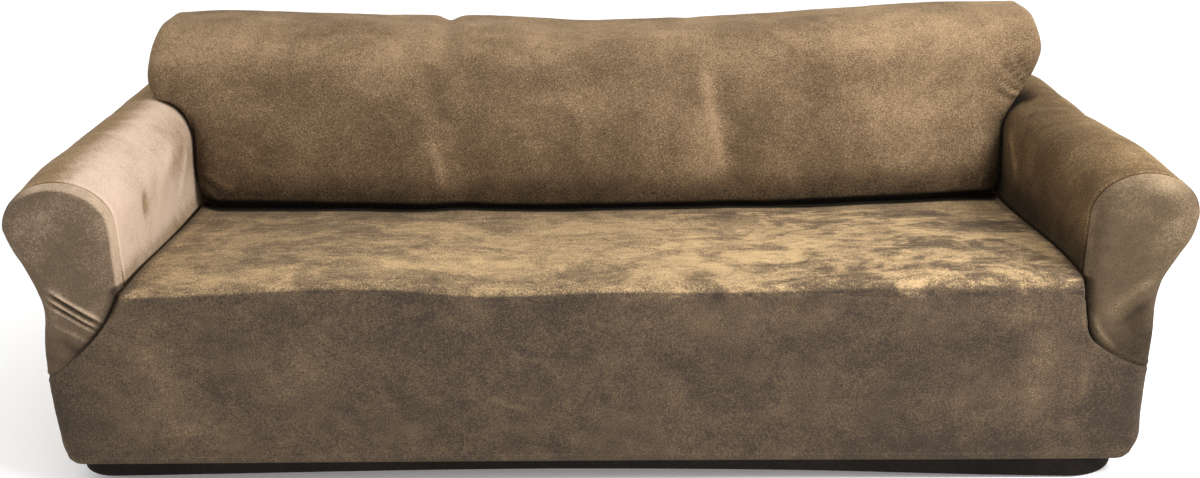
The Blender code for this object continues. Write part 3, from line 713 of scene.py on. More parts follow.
@dataclass(frozen=True)
class Paint:
    """A plain even finish for the floor."""

    name: str
    colour: Colour
    roughness: float = 0.9
    glow: float = 0.15

    def make(self) -> bpy.types.Material:
        """Builds the material.

        Returns:
            The material.
        """
        material = bpy.data.materials.new(self.name)
        nodes = Nodes(material)
        colour = (*self.colour, 1.0)
        shader = nodes.add("ShaderNodeBsdfPrincipled", None, Base_Color=colour, Roughness=self.roughness)
        shader.inputs["Emission Color"].default_value = colour
        shader.inputs["Emission Strength"].default_value = self.glow
        nodes.add("ShaderNodeOutputMaterial", None, Surface=shader.outputs["BSDF"])
        return material


# ---------------------------------------------------------------- cut pieces
@dataclass(frozen=True)
class Line:
    """A soft line beside an edge of a piece: its distance from the edge, its width and its strength."""

    away: float
    width: float
    strength: float

    def at(self, distance: Array) -> Array:
        """Its strength at distances from the edge."""
        return self.strength * np.exp(-(((distance - self.away) / self.width) ** 2))


STILL_EDGE = 0.010  # waves and folds die out this near an edge
SEAM_RIDGE = Line(0.0085, 0.004, 0.4)  # height, as a share of the seam's depth
# Painted shade in a seam's groove, and a painted highlight on the ridge beside it.
SEAM_DARK = Line(0.0, 0.0024, 1.0)
SEAM_LIGHT = Line(0.0075, 0.004, 0.25)
FACE_SEAM_FADES_Z = (0.26, 0.33)  # heights between which the dark of the faces' seams fades in
BRUSHED = 0.20  # how clear the brushed marks are where nothing else is said


@dataclass
class CutPiece:
    """A piece of the cover, cut from velvet and sewn to its neighbours."""

    name: str
    node: str
    slot: str
    finish: Velvet
    flat: tuple[float, float]
    area: float
    inside: Point
    folds: tuple[Fold, ...] = ()
    waves: tuple[Unevenness, ...] = ()
    patches: tuple[Patch, ...] = ()
    seam_depth: float = 0.0022
    seam_width: float = 0.0036
    seam_shade: float = 0.75
    seam_fades_z: tuple[float, float] = (0.04, 0.06)
    made: Optional[bpy.types.Object] = field(default=None, init=False)

    def grids(self) -> list[Array]:
        """The grids of points that make the piece."""
        raise NotImplementedError

    def tones(self, points: Array) -> Array:
        """How each point is painted, from -1, dark, to 1, light: brushed nap, and painted light and shade."""
        return sum((patch.at(points) for patch in self.patches), np.zeros(len(points)))

    def brushing(self, points: Array) -> Array:
        """How strongly the nap shows brushed marks with clear edges at each point."""
        return np.full(len(points), BRUSHED)

    def painted_crease_shade(self, points: Array) -> Array:
        """Painted shade at each point for lying deep in a crease, from 0, open, to 1, black."""
        return np.zeros(len(points))

    def build(self) -> bpy.types.Object:
        """Welds the grids, presses the folds and seams in, and gives the cloth its thickness.

        Returns:
            The finished piece, riding on the frame.
        """
        mesh = self._weld()
        count = len(mesh.vertices)
        points, normals = np.empty(count * 3), np.empty(count * 3)
        mesh.vertices.foreach_get("co", points)
        mesh.vertex_normals.foreach_get("vector", normals)
        points, normals = points.reshape(-1, 3), normals.reshape(-1, 3)
        raised, tones = np.zeros(count), self.tones(points)
        for fold in self.folds:
            lift = fold.at(points)
            raised += lift
            # Painted light and shade: fold crests painted lighter and troughs darker.
            tones += fold.shade * lift / abs(fold.height)
        raised += sum((wave.at(points) for wave in self.waves), np.zeros(count))
        raised *= 1 - np.exp(-((self.edge_distance / STILL_EDGE) ** 2))
        raised -= self.seam_depth * np.exp(-((self.edge_distance / self.seam_width) ** 2))
        raised += self.seam_depth * SEAM_RIDGE.at(self.edge_distance)
        # Painted shade along each seam and a painted highlight beside it.
        shown = self.seam_shade * ease(*self.seam_fades_z, points[:, 2])
        tones += shown * (SEAM_LIGHT.at(self.edge_distance) - SEAM_DARK.at(self.edge_distance))
        mesh.vertices.foreach_set("co", (points + normals * raised[:, None]).ravel())
        # The tone and crease numbers carry painted light and shade to the material.
        kept = {"tone": tones, "brushed": self.brushing(points), "crease": self.painted_crease_shade(points)}
        for name, values in kept.items():
            mesh.attributes.new(name, "FLOAT", "POINT").data.foreach_set("value", values.astype(np.float32))
        mesh.update()
        mesh.materials.append(self.finish.make())
        piece = bpy.data.objects.new(self.name, mesh)
        bpy.context.scene.collection.objects.link(piece)
        wall = piece.modifiers.new("cloth", "SOLIDIFY")
        wall.thickness, wall.offset, wall.use_even_offset = SIZES.cloth, -1.0, False
        select_only(piece)
        bpy.ops.object.modifier_apply(modifier=wall.name)
        piece.data.shade_smooth()
        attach(piece, "root")
        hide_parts(self.node)
        self.made = piece
        LOG.info("%s: %d faces, %.3f square metres", self.name, len(piece.data.polygons), self.area)
        return piece

    def _weld(self) -> bpy.types.Mesh:
        """Joins the grids into one sheet that faces away from the inside, and measures to its edges."""
        shape = bmesh.new()
        for grid in self.grids():
            rows = [[shape.verts.new(point) for point in row] for row in grid.tolist()]
            for near, far in zip(rows, rows[1:]):
                for k in range(len(near) - 1):
                    shape.faces.new((near[k], near[k + 1], far[k + 1], far[k]))
        bmesh.ops.remove_doubles(shape, verts=shape.verts, dist=SIZES.weld)
        bmesh.ops.dissolve_degenerate(shape, edges=shape.edges, dist=SIZES.sliver)
        bmesh.ops.recalc_face_normals(shape, faces=shape.faces)
        centre = Vector(self.inside)
        facing = sum(f.calc_area() * f.normal.dot(f.calc_center_median() - centre) for f in shape.faces)
        if facing < 0:
            bmesh.ops.reverse_faces(shape, faces=shape.faces)
        mesh = bpy.data.meshes.new(self.name)
        shape.to_mesh(mesh)
        shape.free()
        edges = {v for edge in rim_edges(mesh) for v in edge}
        tree = KDTree(len(edges))
        for k, v in enumerate(sorted(edges)):
            tree.insert(mesh.vertices[v].co, k)
        tree.balance()
        self.edge_distance = np.array([tree.find(v.co)[2] for v in mesh.vertices])
        return mesh


def rim_edges(mesh: bpy.types.Mesh) -> list[tuple[int, int]]:
    """Edges that only one face uses."""
    used: dict[tuple[int, int], int] = {}
    for face in mesh.polygons:
        for key in face.edge_keys:
            used[key] = used.get(key, 0) + 1
    return [key for key, count in used.items() if count == 1]


def select_only(piece: bpy.types.Object) -> None:
    """Selects one object and makes it the active one."""
    bpy.ops.object.select_all(action="DESELECT")
    piece.select_set(True)
    bpy.context.view_layer.objects.active = piece


# Shares of the way from a face's seam to its bend, and distances of rows beside a seam.
SIDE_SHARES = np.array((0.0, 0.055, 0.11, 0.18, 0.27, 0.40, 0.60, 0.80, 1.0))
NEAR_SEAM = np.array((0.0, 0.0013, 0.0026, 0.0042, 0.0062, 0.0090, 0.0130, 0.0190))
CLOSER_FROM = 0.962  # share of the way across a row from which its places lie closer
TIP_ROWS = np.linspace(SIZES.tip_turn_z, SIZES.tip_z, 15)[1:]  # heights down to the tips of the arms' faces


def half_shares() -> Array:
    """Shares of the way from the middle of a row to its end, closer together near the end."""
    return np.concatenate([np.linspace(0.0, CLOSER_FROM, 118)[:-1], np.linspace(CLOSER_FROM, 1.0, 14)])


def row_places(reach_left: float, reach_right: float) -> Array:
    """Places across a row from its left end to its right end."""
    shares = half_shares()
    return np.concatenate([-shares[:0:-1] * reach_left, shares * reach_right])


@dataclass
class SeatAndDrop(CutPiece):
    """The seat and the front drop, cut in one."""

    # Painted light: seat lighter facing the light, drop darker in shade, partly nap; painted shade by back
    # and arms.
    lit_seat_tone: float = 0.22
    shaded_drop_tone: float = -0.62
    drop_patches: float = 0.6
    back_shade: float = 0.16
    arm_shade: float = 0.6
    above_drop_z: float = 0.36
    arm_shade_above_z: float = 0.37
    marks_above_z: float = 0.39
    beside_face_below_z: float = 0.41
    # Painted shade: how black the grooves are painted.
    groove_black: float = 0.9

    def seat_z(self, x: Array, y: Array) -> Array:
        """Height of the seat's cloth, which rolls down into the groove along each arm."""
        forward = ease(SIZES.seat_rear_y, SIZES.front_y + SIZES.seat_flat_before, y)
        level = SIZES.seat_rear_z + (SEAT_HEIGHT.at(x) - SIZES.seat_rear_z) * forward
        along = np.clip((SIZES.seat_rear_y - y) / (SIZES.seat_rear_y - SIZES.front_y), 0.0, 1.0)
        top = level + SIZES.seat_crown * (1 - np.abs(x) ** 6) * np.sin(math.pi * along)
        wall = by_side(x, LEFT_ARM.wall_x, RIGHT_ARM.wall_x) - SIZES.groove_clear
        down = np.clip(1 - (wall - np.abs(x)) / SIZES.seat_side_r, 0.0, 1.0)
        groove = by_side(x, LEFT_ARM.groove.at(y), RIGHT_ARM.groove.at(y))
        return top - (top - groove) * down**2

    def beside_face(self, points: Array) -> Array:
        """Rolls the ends of a row back to the faces of the arms."""
        x, y, z = points.T
        out = y.copy()
        for arm, here, edge in ((LEFT_ARM, x < 0, -x[0]), (RIGHT_ARM, x >= 0, x[-1])):
            near = np.clip(1 - (edge - np.abs(x)) / SIZES.face_groove_r, 0.0, 1.0)
            tuck = SIZES.face_groove_tuck * arm.recess(z) / SIZES.face_recess
            back = np.maximum(arm.face(np.asarray(edge), z)[1] + tuck - y, 0.0)
            out = np.where(here, y + back * (1 - np.sqrt(1 - near**2)), out)
        return stack(x, out, z)

    def edge_row(self, turn: float) -> Array:
        """Row over the rounded front edge; turn runs from 0 on the seat to a right angle."""
        reach = []
        for arm in ARMS:
            x = np.asarray(arm.side.value * (arm.wall_x - SIZES.groove_clear))
            reach.append(float(arm.seam_along(self.edge_height(x, turn))) - SIZES.groove_clear)
        if turn == 0:
            reach = [arm.wall_x - SIZES.groove_clear for arm in ARMS]
        x = row_places(*reach)
        y = SIZES.front_y + SEAT_EDGE_R.at(x) * (1 - math.sin(turn))
        return self.beside_face(stack(x, y, self.edge_height(x, turn)))

    def edge_height(self, x: Array, turn: float) -> Array:
        """Height of the rounded front edge at a turn of it."""
        limit = by_side(x, LEFT_ARM.wall_x, RIGHT_ARM.wall_x) - SIZES.groove_clear
        inside = np.clip(x, -limit, limit)
        radius = SEAT_EDGE_R.at(inside)
        return self.seat_z(inside, SIZES.front_y + radius) - radius * (1 - math.cos(turn))

    def drop_row(self, ends: tuple[float, float], height: Callable[[Array], Array]) -> Array:
        """Row of the front drop.

        Args:
            ends: height of its left and right end.
            height: height at each place across.

        Returns:
            The row's points.
        """
        reach = [float(arm.seam_along(np.asarray(z))) for arm, z in zip(ARMS, ends)]
        along = row_places(*reach)
        z = height(along)
        x, y = np.zeros_like(along), np.zeros_like(along)
        for arm, here in ((LEFT_ARM, along < 0), (RIGHT_ARM, along >= 0)):
            out, back = arm.around(np.abs(along), z, np.asarray(SIZES.front_y))
            x, y = np.where(here, arm.side.value * out, x), np.where(here, back, y)
        row = stack(x, y, z)
        return self.beside_face(row) if min(ends) > SIZES.tip_z else row

    def grids(self) -> list[Array]:
        """Rows from the back of the seat, over its edge and down to the hem."""
        rows = []
        walls = [arm.wall_x - SIZES.groove_clear for arm in ARMS]
        x = row_places(*walls)
        rear = back_y(x, SIZES.back_face_foot_z) + SIZES.back_foot_r + SIZES.seat_under_back
        front = SIZES.front_y + SEAT_EDGE_R.at(x)
        for share in np.linspace(0.0, 1.0, 66):
            y = rear + (front - rear) * share
            row = stack(x, y, self.seat_z(x, y))
            rows.append(self.beside_face(row) if share > 0.9 else row)
        rows += [self.edge_row(turn) for turn in np.radians(np.linspace(0.0, 90.0, 12)[1:])]
        under = SIZES.under_edge_z
        ends = [float(self.edge_height(np.asarray(arm.side.value * wall), math.pi / 2))
                for arm, wall in zip(ARMS, walls)]
        for t in np.linspace(0.0, 1.0, 8)[1:]:
            low = tuple(z + (under - z) * t for z in ends)
            rows.append(self.drop_row(low, lambda at: self._between(at, under, t)))
        levels = [*np.linspace(under, SIZES.tip_turn_z, 15)[1:], *TIP_ROWS]
        rows += [self.drop_row((z, z), lambda at: np.full_like(at, z)) for z in levels]
        for t in np.linspace(0.0, 1.0, 26)[1:]:
            low = tuple(float(self._above_hem(arm.side.value, t)) for arm in ARMS)
            rows.append(self.drop_row(low, lambda at: self._above_hem(at, t)))
        return [np.array(rows)]

    @staticmethod
    def _above_hem(along: Array | float, share: float) -> Array:
        """Heights between the tips of the arms' faces and the lower edge."""
        return SIZES.tip_z + (DROP_EDGE.at(along) - SIZES.tip_z) * share

    def _between(self, along: Array, under: float, share: float) -> Array:
        """Heights between the end of the rounded edge and a level below it."""
        high = self.edge_height(along, math.pi / 2)
        return high + (under - high) * share

    def tones(self, points: Array) -> Array:
        """Painted light: seat bright and drop dark, with a crisp change between, and painted shade in the
        grooves.
        """
        x, y, z = points.T
        edge = SEAT_HEIGHT.at(x) - 0.45 * SEAT_EDGE_R.at(x)
        crisp = 0.0022 + 0.004 * ease(0.3, 0.8, x)
        on_top = ease(-1.0, 1.0, (z - edge) / crisp)
        on_top = np.where((y > SIZES.front_y + SEAT_EDGE_R.at(x)) & (z > self.above_drop_z), 1.0, on_top)
        before_back = ease(-0.16, 0.0, y - back_y(x, SIZES.back_face_foot_z))
        at_arm = ease(0.035, 0.004, to_wall(x)) * (z > self.arm_shade_above_z)
        bright = super().tones(points)
        seat = self.lit_seat_tone + bright - self.back_shade * before_back - self.arm_shade * at_arm
        drop = self.shaded_drop_tone + self.drop_patches * bright
        return np.where(on_top > 0, self.shaded_drop_tone * (1 - on_top) + seat * on_top, drop)

    def brushing(self, points: Array) -> Array:
        """Clear marks on the right half of the seat, soft ones elsewhere."""
        x, z = points[:, 0], points[:, 2]
        return np.where(z > self.marks_above_z, 0.42 + 0.38 * ease(-0.1, 0.5, x), BRUSHED)

    def painted_crease_shade(self, points: Array) -> Array:
        """Painted shade: black under the back and in the grooves along the arms and beside their faces."""
        x, y, z = points.T
        behind = y - back_y(x, SIZES.back_face_foot_z)
        at_back = ease(-0.016, -0.006, behind)
        at_arm = self.groove_black * ease(0.011, 0.003, to_wall(x)) * ease(0.010, 0.030, y - SIZES.front_y)
        at_arm = at_arm * (z > self.above_drop_z)
        at_face = by_side(x, LEFT_ARM.seam_along(z), RIGHT_ARM.seam_along(z)) - np.abs(x)
        below = self.groove_black * ease(0.007, 0.001, at_face) * (z <= self.beside_face_below_z)
        below = below * ease(0.29, 0.34, z)
        return np.maximum(np.maximum(at_back, at_arm), below)


@dataclass
class InsideBack(CutPiece):
    """Front of the back, its top, and the start of its rear."""

    foot_clear: ClassVar[float] = 0.0015
    even_x: ClassVar[float] = 0.80
    foot_shade: ClassVar[float] = 0.70
    # Painted highlight along the top.
    top_light: ClassVar[float] = 0.34
    arm_shade: ClassVar[float] = 0.45
    front_of_back_y: ClassVar[float] = 0.25

    @staticmethod
    def ends_beside_arms(count_wall: int, count_roll: int) -> list[list[tuple[float, float]]]:
        """(x, z) of the ends of the rows that run down between the arms, for each side."""
        low = SIZES.seat_rear_z + SIZES.back_foot_r
        ends = []
        for share in np.linspace(0.0, 1.0, count_wall + 1)[1:]:
            ends.append([(arm.wall_x - SIZES.groove_clear, low + (arm.roll_z - low) * share) for arm in ARMS])
        for angle in np.linspace(180, 90, count_roll + 1)[1:-1]:
            at = np.asarray(SIZES.on_roll_y)
            pair = [arm.roll(np.asarray(angle), at, -SIZES.groove_clear) for arm in ARMS]
            ends.append([(float(min(x, arm.back_end.at(z))), float(z)) for arm, (x, z) in zip(ARMS, pair)])
        return ends

    @staticmethod
    def ends_over_arms(z_high: float, count: int) -> list[list[tuple[float, float]]]:
        """(x, z) of the ends of rows from the top of the arms up to a height."""
        at = np.asarray(SIZES.on_roll_y)
        low = [float(arm.roll(np.asarray(90.0), at, -SIZES.groove_clear)[1]) for arm in ARMS]
        ends = []
        for share in np.linspace(0.0, 1.0, count):
            levels = [z + (z_high - z) * share for z in low]
            ends.append([(float(arm.back_end.at(z)), z) for arm, z in zip(ARMS, levels)])
        return ends

    @staticmethod
    def columns(ends: list[tuple[float, float]], radius: float) -> tuple[Array, Array, Array]:
        """Places across a row, whose ends are rolled in by a radius: x, z and how far they are rolled in."""
        (x_left, z_left), (x_right, z_right) = ends
        turn = math.pi / 2 * (1 - (1 - np.linspace(0.0, 1.0, 15)[1:]) ** 1.5)
        even = InsideBack.even_x
        left = np.linspace(radius - x_left, -even, 17)[:-1]
        right = np.linspace(even, x_right - radius, 17)[1:]
        flat = np.concatenate([left, np.linspace(-even, even, 201), right])
        out, inset = radius * np.sin(turn), radius * (1 - np.cos(turn))
        x = np.concatenate([flat[0] - out[::-1], flat, flat[-1] + out])
        rolled = np.concatenate([inset[::-1], np.zeros(len(flat)), inset])
        z = z_left + (z_right - z_left) * (x + x_left) / (x_left + x_right)
        return x, z, rolled

    @staticmethod
    def over_columns(share: float) -> tuple[Array, Array]:
        """Places across a row of the curve over the top, and how far its ends are rolled in."""
        radius = SIZES.edge_r + (SIZES.top_corner_r - SIZES.edge_r) * share
        ends = []
        for arm in ARMS:
            level = over_top(np.asarray(arm.side.value), share)[1] - radius * math.sin(share * math.pi / 2)
            ends.append((float(arm.back_end.at(level)), float(level)))
        x, _, inset = InsideBack.columns(ends, radius)
        return x, inset

    @staticmethod
    def parts() -> dict[str, list[Array]]:
        """Rows of points, by part: foot, beside the arms, over them, over the curve, top and rear."""
        made: dict[str, list[Array]] = {}
        beside = InsideBack.ends_beside_arms(21, 9)
        x, _, inset = InsideBack.columns([(end[0], 0.0) for end in beside[0]], SIZES.edge_r)
        y_face = back_y(x, SIZES.back_face_foot_z) + inset
        foot, on_seat = SIZES.back_foot_r, SIZES.seat_rear_z + InsideBack.foot_clear
        made["foot"] = [
            stack(x, y_face + foot * (1 - math.cos(turn)), on_seat + foot * (1 - math.sin(turn)))
            for turn in np.radians(np.linspace(90.0, 0.0, 11))
        ]
        for part, ends in (("beside", beside), ("over", InsideBack.ends_over_arms(SIZES.back_rise_z, 9))):
            rows = [InsideBack.columns(pair, SIZES.edge_r) for pair in ends]
            made[part] = [stack(x, back_y(x, z) + inset, z) for x, z, inset in rows]
        made["curve"] = []
        for share in np.linspace(0.0, 1.0, 25)[1:]:
            x, inset = InsideBack.over_columns(share)
            y, z = over_top(x, share)
            turn = share * math.pi / 2
            made["curve"].append(stack(x, y + inset * math.cos(turn), z - inset * math.sin(turn)))
        near, far = over_top(x, 1.0)[0], SIZES.rear_y - SIZES.rear_top_r
        steps = np.linspace(0.0, 1.0, 9)[1:-1]
        made["top"] = [stack(x, near + (far - near) * t, top_z(x) - inset) for t in steps]
        radius = SIZES.rear_top_r - inset
        made["rear"] = [
            stack(x, far + radius * math.sin(turn), top_z(x) - SIZES.rear_top_r + radius * math.cos(turn))
            for turn in np.radians(np.linspace(0.0, 90.0, 11))
        ]
        x, z, inset = InsideBack.columns(InsideBack.ends_over_arms(SIZES.rear_seam_z, 2)[-1], SIZES.edge_r)
        made["rear"].append(stack(x, SIZES.rear_y - inset, z))
        return made

    def grids(self) -> list[Array]:
        """Rows from the foot behind the seat, up the back, over the top and down to the rear seam."""
        return [np.array([row for rows in self.parts().values() for row in rows])]

    def tones(self, points: Array) -> Array:
        """Painted light and shade: lighter along the top, black in the groove at the foot and dark beside the
        arms.
        """
        x, y, z = points.T
        foot = ease(0.480, 0.405, z)
        top = ease(0.66, 0.74, z)
        beside = ease(0.07, 0.01, to_wall(x)) * ease(0.64, 0.54, z) * (y < self.front_of_back_y)
        shaded = super().tones(points) - self.foot_shade * foot + self.top_light * top
        return shaded - self.arm_shade * beside

    def painted_crease_shade(self, points: Array) -> Array:
        """Painted shade: black at the foot, most at the left, beside the arms, and round the lower corners.
        """
        x, y, z = points.T
        lift = 0.006 * ease(-0.2, -0.75, x) + 0.004 * ease(0.5, 0.9, x)
        foot = ease(0.408 + lift, 0.400 + lift, z)
        beside = ease(0.015, 0.006, to_wall(x)) * ease(0.60, 0.55, z) * (y < self.front_of_back_y)
        corner = ease(0.25, 0.7, corner_turn(x, z) / SIZES.back_corner_depth)
        return np.maximum(np.maximum(foot, beside), corner)


@dataclass
class OutsideBack(CutPiece):
    """The plain piece across the rear, from the hem up to the seam under the top."""

    def grids(self) -> list[Array]:
        """Rows from the hem, up the sides of the arms, over their rolls and up to the seam."""
        y_edge = np.asarray(SIZES.rear_y - SIZES.edge_r)
        ends = []
        for t in np.linspace(0.0, 1.0, 40)[:-1]:
            pair = []
            for arm in ARMS:
                low = float(DROP_EDGE.at(arm.side.value))
                z = low + (arm.roll_z - low) * t
                pair.append((float(arm.flank_x(y_edge, np.asarray(z))), z))
            ends.append(pair)
        for angle in np.linspace(0.0, 90.0, 12)[:-1]:
            pair = [arm.roll(np.asarray(angle), y_edge) for arm in ARMS]
            ends.append([(float(x), float(z)) for x, z in pair])
        ends += InsideBack.ends_over_arms(SIZES.rear_seam_z, 9)
        rows = []
        for pair in ends:
            x, z, inset = InsideBack.columns(pair, SIZES.edge_r)
            rows.append(stack(x, SIZES.rear_y - inset, z))
        return [np.array(rows)]


@dataclass
class ArmSleeve(CutPiece):
    """Inner side, roll and outer side of an arm, in one piece."""

    arm: ArmShape = LEFT_ARM
    # Painted light, partly nap: how much lighter the inner side and the outer half of the roll are painted.
    inner: float = 0.0
    outer: float = 0.0
    groove_shade: float = 0.055
    # Painted shade in the groove and where the back presses on the arm.
    groove_dark: ClassVar[float] = 0.7
    back_dark: ClassVar[float] = 0.45
    strip_steps: ClassVar[int] = 16

    def outline(self, y: Array) -> tuple[Array, Array, int]:
        """Outline of the arm at places along it.

        Args:
            y: places along the arm, one for each point of the outline, or one for all.

        Returns:
            Distance from the middle and height of each point, and the number of the roll's highest point.
        """
        arm = self.arm
        wall, angle = np.linspace(0.0, 1.0, 18), np.linspace(180.0, 0.0, 41)[1:]
        down = np.linspace(0.0, 1.0, 58)[1:]
        y = np.broadcast_to(y, len(wall) + len(angle) + len(down))
        y_wall, y_roll, y_down = np.split(y, [len(wall), len(wall) + len(angle)])
        groove = arm.groove.at(y_wall)
        low = float(DROP_EDGE.at(arm.side.value))
        roll_x, roll_z = arm.roll(angle, y_roll)
        z_down = arm.roll_z + (low - arm.roll_z) * down
        x = np.concatenate([np.full(len(wall), arm.wall_x), roll_x, arm.flank_x(y_down, z_down)])
        z = np.concatenate([groove + (arm.roll_z - groove) * wall, roll_z, z_down])
        return x, z, len(wall) + 19

    def grids(self) -> list[Array]:
        """Columns along the arm up to the back, and beside the back."""
        arm = self.arm
        _, z, top = self.outline(np.asarray(SIZES.on_roll_y))
        level = np.where(np.arange(len(z)) > top, z[top], z)
        wall = np.full(len(z), arm.side.value * arm.wall_x)
        stop = arm.back_face.at(level) + SIZES.edge_r + corner_turn(wall, level)
        end = SIZES.rear_y - SIZES.edge_r
        beside = []
        shares = np.concatenate([NEAR_SEAM / (stop.min() - arm.seam_y), np.linspace(0.05, 1.0, 68)])
        for share in shares:
            y = arm.seam_y + (stop - arm.seam_y) * share
            x, z, _ = self.outline(y)
            beside.append(stack(arm.side.value * x, y, z))
        behind = []
        for share in np.linspace(0.0, 1.0, 30):
            y = stop + (end - stop) * share
            x, z, _ = self.outline(y)
            behind.append(stack(arm.side.value * x, y, z)[top - self.strip_steps :])
        return [np.array(beside), np.array(behind)]

    def tones(self, points: Array) -> Array:
        """Painted light, partly nap: one way on the inner side, another over the roll; painted shade in the
        groove.
        """
        x, y, z = points.T
        out = (np.abs(x) - self.arm.wall_x) / (self.arm.outer_x - self.arm.wall_x)
        inner = ease(0.62, 0.28, out)
        outer = ease(0.55, 0.95, out)
        groove = ease(self.groove_shade, 0.004, z - self.arm.groove.at(y)) * ease(0.2, 0.0, out)
        stop = self.arm.back_face.at(z) + SIZES.edge_r + corner_turn(x, z)
        back = ease(-0.030, -0.006, y - stop) * ease(0.45, 0.25, out)
        shaded = super().tones(points) + self.inner * inner + self.outer * outer
        return shaded - self.groove_dark * groove - self.back_dark * back

    def painted_crease_shade(self, points: Array) -> Array:
        """Painted shade: black in the groove beside the seat and where the back presses on the arm."""
        x, y, z = points.T
        out = (np.abs(x) - self.arm.wall_x) / (self.arm.outer_x - self.arm.wall_x)
        groove = 0.9 * ease(0.008, 0.002, z - self.arm.groove.at(y)) * ease(0.2, 0.1, out)
        stop = self.arm.back_face.at(z) + SIZES.edge_r + corner_turn(x, z)
        back = ease(-0.022, -0.010, y - stop) * ease(0.060, 0.020, y - stop) * ease(0.55, 0.20, out)
        return np.maximum(groove, back)


@dataclass
class ArmFace(CutPiece):
    """Face of an arm, wrapped round its edge to a seam behind it, and narrowing to a tip beside the drop."""

    arm: ArmShape = LEFT_ARM
    # Painted sheen on the pale rim of the face.
    rim_sheen: float = 0.5
    tip_shade: float = 0.45
    spreads_z: ClassVar[tuple[float, float]] = (0.305, 0.391)

    def rings(self, z: float) -> tuple[Array, Array]:
        """(inset, y) from the seam, around the rounded edge, to the flat of the face."""
        y_face = float(SIZES.front_y + self.arm.recess(np.asarray(z)))
        turn = np.radians(np.linspace(0.0, 90.0, 11)[1:])
        side = self.arm.seam_y + (y_face + SIZES.corner_r - self.arm.seam_y) * SIDE_SHARES
        inset = np.concatenate([np.zeros(len(side)), SIZES.corner_r * (1 - np.cos(turn))])
        return inset, np.concatenate([side, y_face + SIZES.corner_r * (1 - np.sin(turn))])

    def columns(self, z: float, seam: float, reach: float) -> Array:
        """Places across a lower row: under the rings near its top, and evenly spread near its tip."""
        arm, corner = self.arm, SIZES.corner_r
        out = float(arm.flank_x(np.asarray(arm.seam_y), np.asarray(z))) - corner
        turn = np.radians(np.linspace(0.0, 90.0, 11))
        edge = np.concatenate([0.08 * SIDE_SHARES[:-1], 0.08 + 0.92 * (1 - np.cos(turn))])
        inner = seam + (arm.wall_x + corner - seam) * edge
        middle = np.linspace(inner[-1], out, 33)[1:-1]
        bent = out + corner * math.pi / 2
        outer = np.concatenate([out + corner * turn, reach + (bent - reach) * SIDE_SHARES[-2::-1]])
        under_rings = np.concatenate([inner, middle, outer])
        even = np.linspace(seam, reach, len(under_rings))
        share = float(ease(*self.spreads_z, z))
        return under_rings * share + even * (1 - share)

    def grids(self) -> list[Array]:
        """The fan over the roll's end, and the rows under it down to the tip."""
        arm, sign = self.arm, self.arm.side.value
        inset, y = self.rings(arm.roll_z)
        shares = np.linspace(0.0, 1.0, 17)[1:]
        fan = []
        for angle in np.linspace(180.0, 0.0, 61):
            x, z = arm.roll(np.asarray(angle), y, inset)
            x = np.concatenate([x, x[-1] + (arm.roll_x - x[-1]) * shares])
            z = np.concatenate([z, z[-1] + (arm.roll_z - z[-1]) * shares])
            fan.append(stack(sign * x, np.concatenate([y, np.full(len(shares), y[-1])]), z))
        foot = float(arm.groove.at(arm.seam_y))
        lower = []
        for z in np.linspace(arm.roll_z, foot, 20):
            inset, y = self.rings(z)
            inner, outer = arm.wall_x + inset, arm.flank_x(y, np.full_like(y, z)) - inset
            middle = arm.roll_x if z == arm.roll_z else (inner[-1] + outer[-1]) / 2
            half = inner[-1] + (middle - inner[-1]) * shares
            other = outer[-1] + (middle - outer[-1]) * shares[-2::-1]
            x = np.concatenate([inner, half, other, outer[::-1]])
            flat = np.full(len(half) + len(other), y[-1])
            lower.append(stack(sign * x, np.concatenate([y, flat, y[::-1]]), z))
        levels = [*np.linspace(foot, SIZES.tip_turn_z, 70)[1:], *TIP_ROWS]
        for z in levels:
            reach = float(arm.front_reach(np.asarray(z), SIZES.front_y + arm.recess(np.asarray(z))))
            seam = min(float(arm.seam_along(np.asarray(z))), reach)
            if z == levels[-1]:
                seam = reach
            x, y = arm.face(self.columns(z, seam, reach), np.asarray(z))
            lower.append(stack(sign * x, y, z))
        return [np.array(fan), np.array(lower)]

    def tones(self, points: Array) -> Array:
        """Painted sheen, pale where the face turns back to its seam; painted shade, dark in the crease beside
        the drop.
        """
        x, y, z = points.T
        behind = y - (SIZES.front_y + self.arm.recess(z))
        out = (np.abs(x) - self.arm.wall_x) / (self.arm.outer_x - self.arm.wall_x)
        rim_sheen = ease(0.013, 0.020, behind) * ease(0.34, 0.42, z) * ease(0.95, 0.60, out)
        crease = np.where(z < SEAM_HEIGHTS[0], np.abs(np.abs(x) - self.arm.seam_along(z)), 1.0)
        dark = ease(0.020, 0.002, crease) * ease(0.25, 0.36, z)
        return super().tones(points) + self.rim_sheen * rim_sheen - 0.9 * dark - self.tip_shade * ease(0.36, 0.27, z)


@dataclass
class BackEnd(CutPiece):
    """Closes an end of the back above an arm."""

    arm: ArmShape = LEFT_ARM

    def grids(self) -> list[Array]:
        """Rows from the top of the arm up to the top's rounded end."""
        side = self.arm.side
        column = 0 if side is Side.LEFT else -1
        parts = InsideBack.parts()
        front = [row[column] for row in parts["over"] + parts["curve"]]
        rear = [row[column] for row in parts["rear"][::-1]]
        level = SIZES.rear_y - SIZES.edge_r
        under = InsideBack.ends_over_arms(SIZES.rear_seam_z, len(front) - len(rear) + 1)[:-1]
        rear = [np.array((side.value * pair[column][0], level, pair[column][1])) for pair in under] + rear
        share = np.linspace(0.0, 1.0, 26)[:, None]
        return [np.array([near + (far - near) * share for near, far in zip(front, rear)])]


